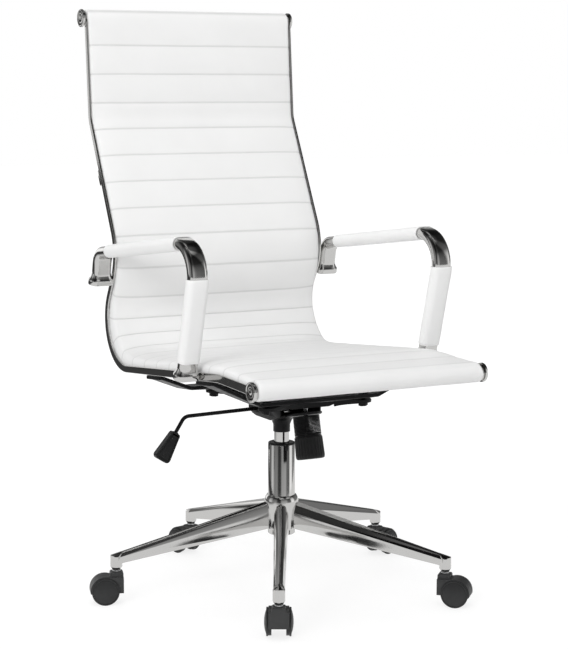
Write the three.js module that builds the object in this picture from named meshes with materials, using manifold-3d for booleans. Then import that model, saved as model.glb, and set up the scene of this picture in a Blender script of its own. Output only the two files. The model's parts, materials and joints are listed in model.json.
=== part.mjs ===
// Swivel armchair: one ribbed sling hung between two side rails, loop arms,
// a knob-tensioned tilt mechanism, a gas lift and a five-star base on twin-wheel casters.
// Millimetres, +Z up, front toward -Y, sitter's right at -X. The column stands on the Z axis.
import * as THREE from 'three';
import { mergeVertices } from 'three/addons/utils/BufferGeometryUtils.js';
import Module from 'manifold-3d';

const wasm = await Module();
wasm.setup();

// ---- fits ----
const gap = 0.3; // air left between two separate pieces
const turnGap = 0.6; // air around pieces that turn past each other

// ---- base ----
const legCount = 5;
const firstLegAngle = -118.6; // degrees from +X, seen from above
const casterCircleRadius = 312.5;
const socketDiameter = 21.5;
const socketMouthChamfer = 3.2;
const legRootWidth = 26;
const legRootDepth = 49;
const legTipWidth = 19.5;
const legTipDepth = 18.6;
const legSideShare = 0.6; // share of a leg's depth below the crease where the ridge starts
const legTipAboveSocketMouth = 11;
const legWall = 2; // sheet of the tubular legs
const hubFloorHeight = 118;
const hubDiameter = 63;
const hubHeight = 52;
const hubDomeHeight = 11;
const hubTopDiameter = 53;

// ---- casters ----
const wheelDiameter = 50;
const wheelShoulder = 1.4; // step down of the tread half that runs under the hood
const wheelPairWidth = 50.6; // over the crowns of the two covers
const wheelCrown = 3.7; // how far a cover bulges past its tread
const wheelInnerGap = 25;
const casterTrail = 21;
const hoodWidth = 36;
const hoodWall = 2.8;
const hoodPostWidth = 24;
const hoodTopHeight = 58.5;
const hoodRearEdgeHeight = 18;
const hoodPostEdgeHeight = 15;
const stemDiameter = 11;
const stemSocketDepth = 22;
const swivelRise = 3.5; // hood top to socket mouth
const axleDiameter = 8;
// direction each wheel pair trails in, degrees from +X, leg by leg
const trailAngles = [62, 316, 20, 105, 162];

// ---- gas lift ----
const columnDiameter = 50;
const columnWall = 1.8;
const columnAboveHub = 94.5;
const columnBelowHub = 12;
const bushLength = 84;
const bushProud = 3.5;
const bushTabCount = 4;
const bushTabWidth = 6;
const bushTabDrop = 10;
const bushTabAngle = 264;
const liftDiameter = 28;
const liftWall = 3;
const liftShown = 20; // bright length between the bush and the mechanism
const liftTaper = 1; // radius lost over the taper held in the mechanism
const liftBelowBush = 65; // length of the cylinder under its guide bush
const pistonRodDiameter = 10;
const pistonHeadLength = 10;
const liftStroke = 90;
const releasePinDiameter = 8;

// ---- tilt mechanism, heights above the lower end of its collar ----
const collarDiameter = 31.4;
const collarHeight = 13;
const housingHalfWidth = 42;
const plateGauge = 3;
const pivotHeight = 45.5;
const pivotSetForward = 23;
const pivotDiameter = 9.6;
const leverHeight = 46.5;
const seatPlateTop = 72.7;
const springLean = 13.7; // degrees the spring axis runs forward going down
const springSeatForward = 93;
const springSeatHeight = 45;
const springDiameter = 50;
const springLength = 36;
const springTurns = 10;
const springWireWidth = 3.6;
const springWireHeight = 2;
const knobTopDiameter = 50.5;
const knobEndDiameter = 53;
const knobLength = 41;
const knobFluteCount = 16;
const knobFluteDepth = 0.9;
const tensionBoltDiameter = 8;
const tensionTravel = 2.5; // rise of the washer over the knob's whole travel
const tongueHalfWidth = 29;
const tongueGauge = 4;

// ---- lever ----
const leverDiameter = 7;
const leverPlay = 1.6; // room in its bush for the lever to rock
const leverReach = 197; // column axis to the bend
const leverBendRadius = 16;
const leverDroop = 78; // drop of the grip's end below the rod
const leverGripOut = 48; // reach of the grip's end past the bend
const gripLength = 56;
const gripTopWidth = 17;
const gripEndWidth = 33;
const gripThickness = 12;

// ---- seat plate and cross bars ----
const boltSpread = 98; // bolt centres either side of the middle
const frontBoltForward = 128;
const rearBoltBack = 84;
const padRadius = 15;
const plateSheet = 4;
const plateRootDepth = 26;
const plateTipDepth = 5;
const waistHalfWidth = 46;
const waistFrontSet = 66; // bolt line to where the arms meet the waist
const waistRearSet = 58;
const crossBarWidth = 30;
const crossBarGauge = 7;
const crossBarRise = 21.5; // degrees
const boltHeadDiameter = 17;
const boltHeadHeight = 8;

// ---- side rails: corners of the centre line, forward is negative, heights above the cross bars ----
const railSpan = 218.5; // middle plane to a rail's inner face
const railThickness = 3.5;
const frontRoll = [-318, 66];
const seatCorner = [372, 18];
const seatCornerRadius = 87;
const lumbarCorner = [246, 237];
const lumbarCornerRadius = 96;
const shoulderCorner = [376, 491];
const shoulderCornerRadius = 45;
const neckCorner = [392, 684];
const neckCornerRadius = 10;
const topRoll = [405, 684];
const railFrontDepth = 16;
const railTopDepth = 9.5;
const rollDiameter = 34;
const rollBarDiameter = 22;
const rollBarWall = 3;
const capThickness = 5;
const capRingWidth = 4;
const backBarHeight = 385;
const backBarOffset = 30;

// ---- sling ----
const slingRibCount = 24;
const slingCrown = 17;
const slingSeam = 8;
const slingBridge = 16; // how much wider than the rail the stretched sheet turns the seat corner

// ---- arms, heights above the cross bars ----
const armStandoff = 21.5; // outer face of a rail to the centre plane of an arm
const armTubeWidth = 36;
const armTubeDepth = 20;
const armTubeWall = 2;
const armRearFoot = [275, 184];
const armRearCorner = [262, 245];
const armRearRadius = 30;
const armFrontCorner = [-175, 301];
const armFrontRadius = 55;
const armFrontFoot = [-106, 52];
const sleeveWall = 1.5;
const topSleeveFront = -98;
const topSleeveRear = 238;
const uprightSleeveTop = 235;
const uprightSleeveFoot = 89;
const footWidth = 47;
const footDepth = 30;
const footHeight = 10;
const footFlare = 12;

// ---- colours ----
const chrome = { color: 0xd9dcdf, roughness: 0.12, metalness: 1 };
const darkSteel = { color: 0x2b2c2e, roughness: 0.45, metalness: 0.6 };
const steel = { color: 0x9da1a4, roughness: 0.35, metalness: 1 };
const blackPlastic = { color: 0x2f3032, roughness: 0.5, metalness: 0 };
const tyreNylon = { color: 0x242526, roughness: 0.6, metalness: 0 };
const whiteLeather = { color: 0xf1f1ef, roughness: 0.55, metalness: 0 };

// ---- derived heights ----
const wheelRadius = wheelDiameter / 2;
const socketMouth = hoodTopHeight + swivelRise;
const hubTop = hubFloorHeight + hubHeight;
const columnTop = hubTop + hubDomeHeight + columnAboveHub;
const columnFloor = hubFloorHeight - columnBelowHub;
const bushTop = columnTop + bushProud;
const collarFloor = bushTop + liftShown;
const pivotZ = collarFloor + pivotHeight;
const leverZ = collarFloor + leverHeight;
const plateTop = collarFloor + seatPlateTop;
const barFloor = plateTop + gap;
const barTop = barFloor + crossBarGauge;

const chair = new THREE.Group();
chair.name = 'sling_swivel_armchair';

// ---- geometry helpers ----
const X = new THREE.Vector3(1, 0, 0);
const Y = new THREE.Vector3(0, 1, 0);
const Z = new THREE.Vector3(0, 0, 1);
const degrees = Math.PI / 180;
const outlineToSide = new THREE.Matrix4().makeBasis(Y, Z, X);
const outlineToFront = new THREE.Matrix4().makeBasis(X, Z, Y.clone().negate());

// closed solid for the boolean library: bare positions, welded, without collapsed triangles
function solidOf(geometry) {
  const bare = geometry.clone();
  bare.deleteAttribute('normal');
  bare.deleteAttribute('uv');
  const welded = mergeVertices(bare, 1e-4);
  const index = welded.index.array;
  const kept = [];
  for (let i = 0; i < index.length; i += 3) {
    const [a, b, c] = [index[i], index[i + 1], index[i + 2]];
    if (a !== b && b !== c && c !== a) kept.push(a, b, c);
  }
  return new wasm.Manifold(new wasm.Mesh({
    numProp: 3,
    vertProperties: new Float32Array(welded.attributes.position.array),
    triVerts: new Uint32Array(kept),
  }));
}

function geometryOf(solid) {
  const mesh = solid.getMesh();
  const geometry = new THREE.BufferGeometry();
  geometry.setAttribute('position', new THREE.Float32BufferAttribute(mesh.vertProperties, 3));
  geometry.setIndex(Array.from(mesh.triVerts));
  geometry.computeVertexNormals();
  return geometry;
}

function unite(first, ...others) {
  let solid = solidOf(first);
  for (const other of others) solid = solid.add(solidOf(other));
  return geometryOf(solid);
}

function cut(first, ...tools) {
  let solid = solidOf(first);
  for (const tool of tools) solid = solid.subtract(solidOf(tool));
  return geometryOf(solid);
}

function common(first, second) {
  return geometryOf(solidOf(first).intersect(solidOf(second)));
}

function addPart(name, geometry, finish) {
  const mesh = new THREE.Mesh(geometry, new THREE.MeshStandardMaterial(finish));
  mesh.name = name;
  chair.add(mesh);
  return mesh;
}

function shapeOf(points) {
  return new THREE.Shape(points.map(([a, b]) => new THREE.Vector2(a, b)));
}

// turned about +Z from [radius, height] points
function turned(points, segments = 32) {
  const profile = points.map(([r, z]) => new THREE.Vector2(r, z));
  return new THREE.LatheGeometry(profile, segments).rotateX(Math.PI / 2);
}

// a turned piece whose own axis points along `axis`, its origin moved to `place`
function turnedAlong(axis, place, points, segments = 32) {
  const geometry = turned(points, segments);
  geometry.applyQuaternion(new THREE.Quaternion().setFromUnitVectors(Z, axis.clone().normalize()));
  return geometry.translate(place.x, place.y, place.z);
}

function rod(axis, start, length, radius, segments = 24) {
  return turnedAlong(axis, start, [[0, 0], [radius, 0], [radius, length], [0, length]], segments);
}

function box(x0, x1, y0, y1, z0, z1) {
  const geometry = new THREE.BoxGeometry(x1 - x0, y1 - y0, z1 - z0);
  return geometry.translate((x0 + x1) / 2, (y0 + y1) / 2, (z0 + z1) / 2);
}

// outline in (y, z) carried from x0 to x1, with an optional edge chamfer
function sideSlab(shape, x0, x1, chamfer = 0, curveSegments = 10) {
  const geometry = new THREE.ExtrudeGeometry(shape, {
    depth: x1 - x0 - 2 * chamfer,
    curveSegments,
    bevelEnabled: chamfer > 0,
    bevelSize: chamfer,
    bevelThickness: chamfer,
    bevelOffset: -chamfer,
    bevelSegments: 1,
  });
  return geometry.applyMatrix4(outlineToSide).translate(x0 + chamfer, 0, 0);
}

// outline in (x, z) carried from y0 to y1
function frontSlab(shape, y0, y1, chamfer = 0, curveSegments = 10) {
  const geometry = new THREE.ExtrudeGeometry(shape, {
    depth: y1 - y0 - 2 * chamfer,
    curveSegments,
    bevelEnabled: chamfer > 0,
    bevelSize: chamfer,
    bevelThickness: chamfer,
    bevelOffset: -chamfer,
    bevelSegments: 1,
  });
  return geometry.applyMatrix4(outlineToFront).translate(0, y1 - chamfer, 0);
}

// outline in (x, y) carried from z0 to z1, drawn in by `inset`
function planSlab(shape, z0, z1, inset = 0, curveSegments = 8) {
  const geometry = new THREE.ExtrudeGeometry(shape, {
    depth: z1 - z0,
    curveSegments,
    bevelEnabled: inset > 0,
    bevelSize: 0,
    bevelThickness: 0,
    bevelOffset: -inset,
    bevelSegments: 0,
  });
  return geometry.translate(0, 0, z0);
}

// stations down a line of straight runs and exact arcs: corner points with a radius at each bend
function filletStations(corners, radii, arcStep = 9) {
  const stations = [];
  const last = corners.length - 1;
  let travelled = 0;
  let cursor = corners[0];
  const add = (point, tangent) => {
    travelled += point.distanceTo(cursor);
    cursor = point;
    stations.push({ point, tangent, travelled });
  };
  add(corners[0], corners[1].clone().sub(corners[0]).normalize());
  for (let i = 1; i < last; i += 1) {
    const into = corners[i].clone().sub(corners[i - 1]).normalize();
    const out = corners[i + 1].clone().sub(corners[i]).normalize();
    const turn = into.angleTo(out);
    const radius = radii[i - 1];
    const setback = radius * Math.tan(turn / 2);
    const start = corners[i].clone().addScaledVector(into, -setback);
    const inward = out.clone().addScaledVector(into, -out.dot(into)).normalize();
    const steps = Math.max(2, Math.round(turn / degrees / arcStep));
    for (let k = 0; k <= steps; k += 1) {
      const angle = (turn * k) / steps;
      const point = start.clone()
        .addScaledVector(into, radius * Math.sin(angle))
        .addScaledVector(inward, radius * (1 - Math.cos(angle)));
      const tangent = into.clone().multiplyScalar(Math.cos(angle));
      add(point, tangent.addScaledVector(inward, Math.sin(angle)));
    }
  }
  add(corners[last], corners[last].clone().sub(corners[last - 1]).normalize());
  return stations;
}

function stationAt(stations, distance) {
  let k = 1;
  while (k < stations.length - 1 && stations[k].travelled < distance) k += 1;
  const [low, high] = [stations[k - 1], stations[k]];
  const share = (distance - low.travelled) / (high.travelled - low.travelled);
  return {
    point: low.point.clone().lerp(high.point, share),
    tangent: low.tangent.clone().lerp(high.tangent, share).normalize(),
    travelled: distance,
  };
}

// the run of stations between two distances, with a fresh station at each end
function stationsBetween(stations, from, to) {
  const inside = stations.filter((s) => s.travelled > from + 1 && s.travelled < to - 1);
  return [stationAt(stations, from), ...inside, stationAt(stations, to)];
}

// distance at which a line of stations crosses a value of one coordinate inside [from, to]
function distanceWhere(stations, axisName, value, from = 0, to = Infinity) {
  for (let k = 1; k < stations.length; k += 1) {
    const [low, high] = [stations[k - 1], stations[k]];
    const [a, b] = [low.point[axisName] - value, high.point[axisName] - value];
    const inRange = low.travelled >= from && high.travelled <= to;
    if (inRange && a * b <= 0 && a !== b) {
      return low.travelled + (high.travelled - low.travelled) * (a / (a - b));
    }
  }
  throw new Error(`the line never reaches ${axisName} = ${value}`);
}

// sweep path in one plane, with a ring at every station; `across` is square to the plane
class StationPath extends THREE.Curve {
  constructor(stations, across) {
    super();
    this.stations = stations;
    this.across = across;
  }

  getPoint(t, target = new THREE.Vector3()) {
    const place = t * (this.stations.length - 1);
    const low = Math.min(Math.floor(place), this.stations.length - 2);
    const [a, b] = [this.stations[low].point, this.stations[low + 1].point];
    return target.lerpVectors(a, b, place - low);
  }

  getPointAt(u, target) {
    return this.getPoint(u, target);
  }

  computeFrenetFrames() {
    const tangents = this.stations.map((station) => station.tangent);
    const normals = tangents.map(() => this.across.clone());
    const binormals = tangents.map((tangent) => tangent.clone().cross(this.across).normalize());
    return { tangents, normals, binormals };
  }
}

// the outline's first axis lies along `across`, its second in the plane of the path
function sweep(shape, stations, across, curveSegments = 6) {
  return new THREE.ExtrudeGeometry(shape, {
    steps: stations.length - 1,
    curveSegments,
    extrudePath: new StationPath(stations, across),
  });
}

function stadium(width, depth) {
  const shape = new THREE.Shape();
  const half = (width - depth) / 2;
  shape.absarc(half, 0, depth / 2, -Math.PI / 2, Math.PI / 2, false);
  shape.absarc(-half, 0, depth / 2, Math.PI / 2, Math.PI * 1.5, false);
  return shape;
}

function disc(radius) {
  const shape = new THREE.Shape();
  shape.absarc(0, 0, radius, 0, Math.PI * 2, false);
  return shape;
}

// mirror copy across the middle plane, with its faces turned outward again
function mirrored(geometry) {
  const copy = (geometry.index ? geometry.toNonIndexed() : geometry.clone()).scale(-1, 1, 1);
  const position = copy.attributes.position;
  for (let i = 0; i < position.count; i += 3) {
    const [bx, by, bz] = [position.getX(i + 1), position.getY(i + 1), position.getZ(i + 1)];
    position.setXYZ(i + 1, position.getX(i + 2), position.getY(i + 2), position.getZ(i + 2));
    position.setXYZ(i + 2, bx, by, bz);
  }
  copy.computeVertexNormals();
  return copy;
}

// ================= base =================
// a leg lies along +X from the hub to its socket: flat sides under a rounded ridge, tapering outward
function legTaper(geometry, from, to) {
  const position = geometry.attributes.position;
  const rootFloor = hubFloorHeight + 1;
  const tipFloor = socketMouth + legTipAboveSocketMouth;
  for (let i = 0; i < position.count; i += 1) {
    const along = position.getZ(i);
    const share = (from + along * (to - from) - hubDiameter / 2) / (casterCircleRadius - hubDiameter / 2);
    const width = THREE.MathUtils.lerp(legRootWidth, legTipWidth, share);
    const depth = THREE.MathUtils.lerp(legRootDepth, legTipDepth, share);
    const floor = THREE.MathUtils.lerp(rootFloor, tipFloor, share);
    position.setXYZ(
      i,
      from + along * (to - from),
      position.getX(i) * width,
      floor + position.getY(i) * depth,
    );
  }
  return geometry;
}

function legOutline(halfWidth, floor, top) {
  const shape = new THREE.Shape();
  shape.moveTo(-halfWidth, floor);
  shape.lineTo(halfWidth, floor);
  shape.lineTo(halfWidth, legSideShare);
  shape.quadraticCurveTo(halfWidth * 0.8, top, 0, top);
  shape.quadraticCurveTo(-halfWidth * 0.8, top, -halfWidth, legSideShare);
  return shape;
}

function legBeam(halfWidth, floor, from, to, top = 1) {
  const geometry = new THREE.ExtrudeGeometry(legOutline(halfWidth, floor, top), {
    depth: 1,
    steps: 1,
    bevelEnabled: false,
    curveSegments: 2,
  });
  return legTaper(geometry, from, to);
}

const socketRadius = socketDiameter / 2;
const stemBoreTop = socketMouth + stemSocketDepth + gap;

function baseLeg() {
  const beam = legBeam(0.5, 0, hubDiameter / 2 - 8, casterCircleRadius);
  // the socket's top is cut off by the leg's own ridge, carried on past the socket
  const reach = 2 * socketRadius;
  const ridge = legBeam(0.62, -3, casterCircleRadius - reach, casterCircleRadius + reach);
  const socket = turned([
    [0, socketMouth],
    [socketRadius - socketMouthChamfer, socketMouth],
    [socketRadius, socketMouth + 1.5 * socketMouthChamfer],
    [socketRadius, hubTop],
    [0, hubTop],
  ], 14).translate(casterCircleRadius, 0, 0);
  const bore = rod(Z, new THREE.Vector3(casterCircleRadius, 0, socketMouth - 1),
    stemBoreTop - socketMouth + 1, stemDiameter / 2 + gap, 12);
  // the tube's hollow runs from the hub wall into the stem's bore
  const wallShare = legWall / legRootDepth;
  const hollow = legBeam(0.5 - legWall / legRootWidth, wallShare, hubDiameter / 2 + legWall,
    casterCircleRadius, 1 - wallShare);
  return geometryOf(
    solidOf(beam).add(solidOf(common(socket, ridge))).subtract(solidOf(hollow)).subtract(solidOf(bore)),
  );
}

const columnRadius = columnDiameter / 2;
const hubRadius = hubDiameter / 2;
const leg = baseLeg();
let baseSolid = solidOf(turned([
  [0, hubFloorHeight],
  [hubRadius - 1.5, hubFloorHeight],
  [hubRadius, hubFloorHeight + 1.5],
  [hubRadius, hubTop],
  [hubRadius - 1.2, hubTop + 0.45 * hubDomeHeight],
  [hubTopDiameter / 2 + 1.2, hubTop + 0.9 * hubDomeHeight],
  [hubTopDiameter / 2, hubTop + hubDomeHeight],
  [0, hubTop + hubDomeHeight],
], 28));
const legAngles = [];
for (let i = 0; i < legCount; i += 1) {
  const angle = firstLegAngle + (360 / legCount) * i;
  legAngles.push(angle * degrees);
  baseSolid = baseSolid.add(solidOf(leg.clone().rotateZ(angle * degrees)));
}
baseSolid = baseSolid.subtract(solidOf(rod(Z, new THREE.Vector3(0, 0, hubFloorHeight - 1),
  hubHeight + hubDomeHeight + 2, columnRadius + gap, 24)));
addPart('star_base', geometryOf(baseSolid), chrome);

// ================= casters =================
// modelled with the stem on the Z axis and the wheels trailing toward +X
const hoodHalf = hoodWidth / 2;
const hoodRadius = wheelRadius - wheelShoulder + turnGap + hoodWall;
const pocketRadius = hoodRadius - hoodWall;
const webHalf = wheelInnerGap / 2 - turnGap;
const wheelOuter = wheelPairWidth / 2;
const postRadius = hoodPostWidth / 2;

function casterHood() {
  const rearAngle = Math.asin((hoodRearEdgeHeight - wheelRadius) / hoodRadius);
  const postMeet = Math.acos((postRadius - casterTrail) / hoodRadius);
  const drum = new THREE.Shape();
  drum.moveTo(-postRadius, hoodPostEdgeHeight);
  drum.lineTo(casterTrail + hoodRadius * Math.cos(rearAngle), hoodRearEdgeHeight);
  drum.absarc(casterTrail, wheelRadius, hoodRadius, rearAngle, postMeet, false);
  drum.lineTo(postRadius - 3, hoodTopHeight - 8);
  drum.lineTo(-postRadius, hoodTopHeight - 8);
  const post = shapeOf([
    [-postRadius, hoodPostEdgeHeight],
    [postRadius, hoodPostEdgeHeight],
    [postRadius, hoodTopHeight - 2],
    [postRadius - 2, hoodTopHeight],
    [-postRadius + 2, hoodTopHeight],
    [-postRadius, hoodTopHeight - 2],
  ]);
  let solid = solidOf(frontSlab(drum, -hoodHalf, hoodHalf, 0, 8))
    .add(solidOf(frontSlab(post, -postRadius, postRadius, 1.5)));
  const centre = new THREE.Vector3(casterTrail, 0, wheelRadius);
  for (const side of [-1, 1]) {
    const start = centre.clone().setY(side * webHalf);
    solid = solid.subtract(solidOf(rod(Y.clone().multiplyScalar(side), start, wheelPairWidth,
      pocketRadius, 18)));
  }
  solid = solid.subtract(solidOf(rod(Y, centre.clone().setY(-hoodWidth), 2 * hoodWidth,
    axleDiameter / 2 + gap, 10)));
  solid = solid.subtract(solidOf(rod(Z, new THREE.Vector3(0, 0, hoodPostEdgeHeight + 10),
    hoodTopHeight, stemDiameter / 2 + gap, 12)));
  return geometryOf(solid);
}

function casterWheel(side) {
  const inner = wheelInnerGap / 2;
  const step = hoodHalf + turnGap;
  const faceRadius = wheelRadius - 2.6;
  const treadOuter = wheelOuter - wheelCrown;
  const crownAt = (share) => [share * (faceRadius - 1.2), treadOuter + wheelCrown * (1 - share * share)];
  return turnedAlong(Y.clone().multiplyScalar(side), new THREE.Vector3(casterTrail, 0, wheelRadius), [
    [0, wheelOuter - 3],
    [axleDiameter / 2 + gap, wheelOuter - 3],
    [axleDiameter / 2 + gap, inner],
    [wheelRadius - wheelShoulder, inner],
    [wheelRadius - wheelShoulder, step - turnGap],
    [wheelRadius, step],
    [wheelRadius, treadOuter - 1.2],
    [wheelRadius - 1.2, treadOuter],
    [faceRadius, treadOuter],
    [faceRadius - 0.6, treadOuter - 0.6],
    crownAt(1),
    crownAt(0.6),
    [0, wheelOuter],
  ], 16);
}

function casterStem() {
  const top = socketMouth + stemSocketDepth;
  const collarRadius = stemDiameter / 2 + 2.2;
  return turned([
    [0, hoodPostEdgeHeight + 10 + gap],
    [stemDiameter / 2, hoodPostEdgeHeight + 10 + gap],
    [stemDiameter / 2, hoodTopHeight + gap],
    [collarRadius, hoodTopHeight + gap],
    [collarRadius, socketMouth - gap - 1],
    [stemDiameter / 2, socketMouth - gap - 1],
    [stemDiameter / 2, top],
    [0, top],
  ], 12);
}

const hoodShape = casterHood();
const axleHalf = wheelOuter - 3 - gap;
const axleShape = rod(Y, new THREE.Vector3(casterTrail, -axleHalf, wheelRadius), 2 * axleHalf,
  axleDiameter / 2, 10);
legAngles.forEach((legAngle, i) => {
  const place = new THREE.Matrix4()
    .makeTranslation(casterCircleRadius * Math.cos(legAngle), casterCircleRadius * Math.sin(legAngle), 0)
    .multiply(new THREE.Matrix4().makeRotationZ(trailAngles[i] * degrees));
  const name = `caster_${i + 1}`;
  addPart(`${name}_stem`, casterStem().applyMatrix4(place), steel);
  addPart(`${name}_hood`, hoodShape.clone().applyMatrix4(place), blackPlastic);
  addPart(`${name}_axle`, axleShape.clone().applyMatrix4(place), steel);
  addPart(`${name}_wheel_a`, casterWheel(-1).applyMatrix4(place), tyreNylon);
  addPart(`${name}_wheel_b`, casterWheel(1).applyMatrix4(place), tyreNylon);
});

// ================= gas lift =================
const liftRadius = liftDiameter / 2;
const bushRadius = columnRadius - columnWall - gap;
const columnEndPlate = 4;
const pistonRadius = pistonRodDiameter / 2;

// the bush's tabs hang in notches around the tube's mouth
function bushTabs(width, innerRadius, outerRadius, drop, rise) {
  const tabs = [];
  for (let i = 0; i < bushTabCount; i += 1) {
    const angle = (bushTabAngle + (360 / bushTabCount) * i) * degrees;
    const shape = new THREE.Shape();
    shape.moveTo(width / 2, rise);
    shape.lineTo(-width / 2, rise);
    shape.absarc(0, -drop + width / 2, width / 2, Math.PI, Math.PI * 2, false);
    const tab = sideSlab(shape, innerRadius, outerRadius, 0, 2);
    tabs.push(tab.rotateZ(angle).translate(0, 0, columnTop));
  }
  return tabs;
}

const columnTube = turned([
  [pistonRadius + gap, columnFloor],
  [columnRadius - 1.5, columnFloor],
  [columnRadius, columnFloor + 1.5],
  [columnRadius, columnTop],
  [columnRadius - columnWall, columnTop],
  [columnRadius - columnWall, columnFloor + columnEndPlate],
  [pistonRadius + gap, columnFloor + columnEndPlate],
  [pistonRadius + gap, columnFloor],
], 24);
addPart('column_outer_tube', cut(columnTube,
  ...bushTabs(bushTabWidth + 2 * gap, columnRadius - 2 * columnWall, columnRadius + 1, bushTabDrop + gap, 1)),
chrome);

const bushBore = liftRadius + gap;
const bushBody = turned([
  [bushBore, columnTop - bushLength],
  [bushRadius, columnTop - bushLength],
  [bushRadius, columnTop + gap],
  [columnRadius, columnTop + gap],
  [columnRadius, bushTop - 1.2],
  [columnRadius - 1.5, bushTop],
  [bushBore + 1.5, bushTop],
  [bushBore, bushTop - 1],
  [bushBore, columnTop - bushLength],
], 24);
addPart('column_guide_bush', unite(bushBody,
  ...bushTabs(bushTabWidth, bushRadius - 1, columnRadius, bushTabDrop, 1)), blackPlastic);

const liftFloor = columnTop - bushLength - liftBelowBush;
const housingFloor = collarFloor + 29;
const liftTop = collarFloor + 37;
const liftCavityTop = liftFloor + 8 + liftStroke + pistonHeadLength + 12;
const liftBody = turned([
  [pistonRadius + gap, liftFloor],
  [liftRadius, liftFloor],
  [liftRadius, collarFloor - 2],
  [liftRadius - liftTaper, liftTop],
  [0, liftTop],
  [0, liftCavityTop],
  [liftRadius - liftWall, liftCavityTop],
  [liftRadius - liftWall, liftFloor + 8],
  [pistonRadius + gap, liftFloor + 8],
  [pistonRadius + gap, liftFloor],
], 20);
const pinBoreDepth = 19;
addPart('gas_lift_cylinder', cut(liftBody,
  rod(Z, new THREE.Vector3(0, 0, liftTop - pinBoreDepth), pinBoreDepth + 1,
    releasePinDiameter / 2 + gap, 16)), chrome);

const pistonTop = liftFloor + 8 + liftStroke + pistonHeadLength + 4;
const clipHeight = 3;
addPart('piston_rod', turned([
  [0, columnFloor - gap - clipHeight],
  [pistonRadius + 4, columnFloor - gap - clipHeight],
  [pistonRadius + 4, columnFloor - gap],
  [pistonRadius, columnFloor - gap],
  [pistonRadius, pistonTop - pistonHeadLength],
  [liftRadius - liftWall - gap, pistonTop - pistonHeadLength],
  [liftRadius - liftWall - gap, pistonTop],
  [0, pistonTop],
], 20), steel);

const leverRadius = leverDiameter / 2;
const pinTop = leverZ - leverRadius - gap;
const pinFloor = liftTop - pinBoreDepth + 7;
addPart('release_pin', rod(Z, new THREE.Vector3(0, 0, pinFloor), pinTop - pinFloor,
  releasePinDiameter / 2, 16), steel);

// ================= tilt mechanism =================
const lean = springLean * degrees;
const springAxis = new THREE.Vector3(0, -Math.sin(lean), -Math.cos(lean)); // down the spring
const springTop = new THREE.Vector3(0, -springSeatForward, collarFloor + springSeatHeight);
const alongSpring = (distance) => springTop.clone().addScaledVector(springAxis, distance);
// forward direction in the face the spring bears on
const seatForward = new THREE.Vector3(0, -Math.cos(lean), Math.sin(lean));
const pivotY = -pivotSetForward;
const pivotRadius = pivotDiameter / 2;

function housing() {
  const seatAt = (distance) => {
    const point = springTop.clone().addScaledVector(seatForward, distance);
    return [point.y, point.z + gap];
  };
  const tongueRoot = seatAt(-springDiameter / 2 - 4);
  const wallFront = seatAt(-springDiameter / 2 + 4);
  const floorZ = housingFloor;
  // trough seen from the side: rear tip, flat floor round the collar, rise to the spring's tongue
  const trough = shapeOf([
    [52, floorZ + 11],
    [38, floorZ + 3],
    [22, floorZ],
    [-34, floorZ],
    tongueRoot,
    wallFront,
    [wallFront[0], pivotZ + 15],
    [pivotY, pivotZ + 14],
    [30, pivotZ + 6],
    [52, floorZ + 17],
  ]);
  const inner = housingHalfWidth - plateGauge;
  let solid = solidOf(sideSlab(trough, -housingHalfWidth, housingHalfWidth));
  const hollow = sideSlab(trough, -inner, inner).translate(0, 0, plateGauge);
  const openTop = sideSlab(trough, -inner, inner).translate(0, 0, 2 * plateGauge + 6);
  solid = solid.subtract(solidOf(hollow)).subtract(solidOf(openTop));
  // tongue under the front that the spring pushes against, slotted for the bolt
  const tongueFront = seatAt(springDiameter / 2 + 4);
  const tongueLift = tongueGauge / Math.cos(lean);
  const tongueSide = shapeOf([
    tongueRoot,
    tongueFront,
    [tongueFront[0], tongueFront[1] + tongueLift],
    [tongueRoot[0], tongueRoot[1] + tongueLift],
  ]);
  const tonguePlan = new THREE.Shape();
  tonguePlan.moveTo(tongueHalfWidth, tongueRoot[0] + 1);
  tonguePlan.lineTo(-tongueHalfWidth, tongueRoot[0] + 1);
  tonguePlan.absarc(0, springTop.y, tongueHalfWidth, Math.PI, Math.PI * 2, false);
  solid = solid.add(solidOf(common(
    sideSlab(tongueSide, -tongueHalfWidth, tongueHalfWidth),
    planSlab(tonguePlan, floorZ - 10, plateTop, 0, 6),
  )));
  const slotRadius = tensionBoltDiameter / 2 + 1.2;
  const slot = new THREE.Shape();
  slot.absarc(0, springTop.y + 2, slotRadius, 0, Math.PI, false);
  slot.absarc(0, springTop.y - 5, slotRadius, Math.PI, Math.PI * 2, false);
  solid = solid.subtract(solidOf(planSlab(slot, floorZ - 10, plateTop, 0, 4)));
  // pressed funnel and collar round the taper of the gas cylinder
  const collarRadius = collarDiameter / 2;
  solid = solid.add(solidOf(turned([
    [0, collarFloor],
    [collarRadius, collarFloor],
    [collarRadius, collarFloor + collarHeight],
    [collarRadius + 4, floorZ - 6],
    [collarRadius + 14, floorZ + plateGauge / 2],
    [liftRadius + 3.5, floorZ + plateGauge + 1],
    [liftRadius + 3.5, liftTop - 1],
    [0, liftTop - 1],
  ], 22)));
  solid = solid.subtract(solidOf(turned([
    [0, collarFloor - 2],
    [liftRadius + gap, collarFloor - 2],
    [liftRadius - liftTaper + gap, liftTop],
    [0, liftTop],
  ], 20)));
  solid = solid.subtract(solidOf(rod(X, new THREE.Vector3(-2 * housingHalfWidth, pivotY, pivotZ),
    4 * housingHalfWidth, pivotRadius + gap, 14)));
  solid = solid.subtract(solidOf(rod(X, new THREE.Vector3(-2 * housingHalfWidth, 0, leverZ),
    1.5 * housingHalfWidth, bushShankRadius + gap, 14)));
  return geometryOf(solid);
}

const bushShankRadius = leverRadius + leverPlay + 1.7;
addPart('mechanism_housing', housing(), darkSteel);

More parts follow.
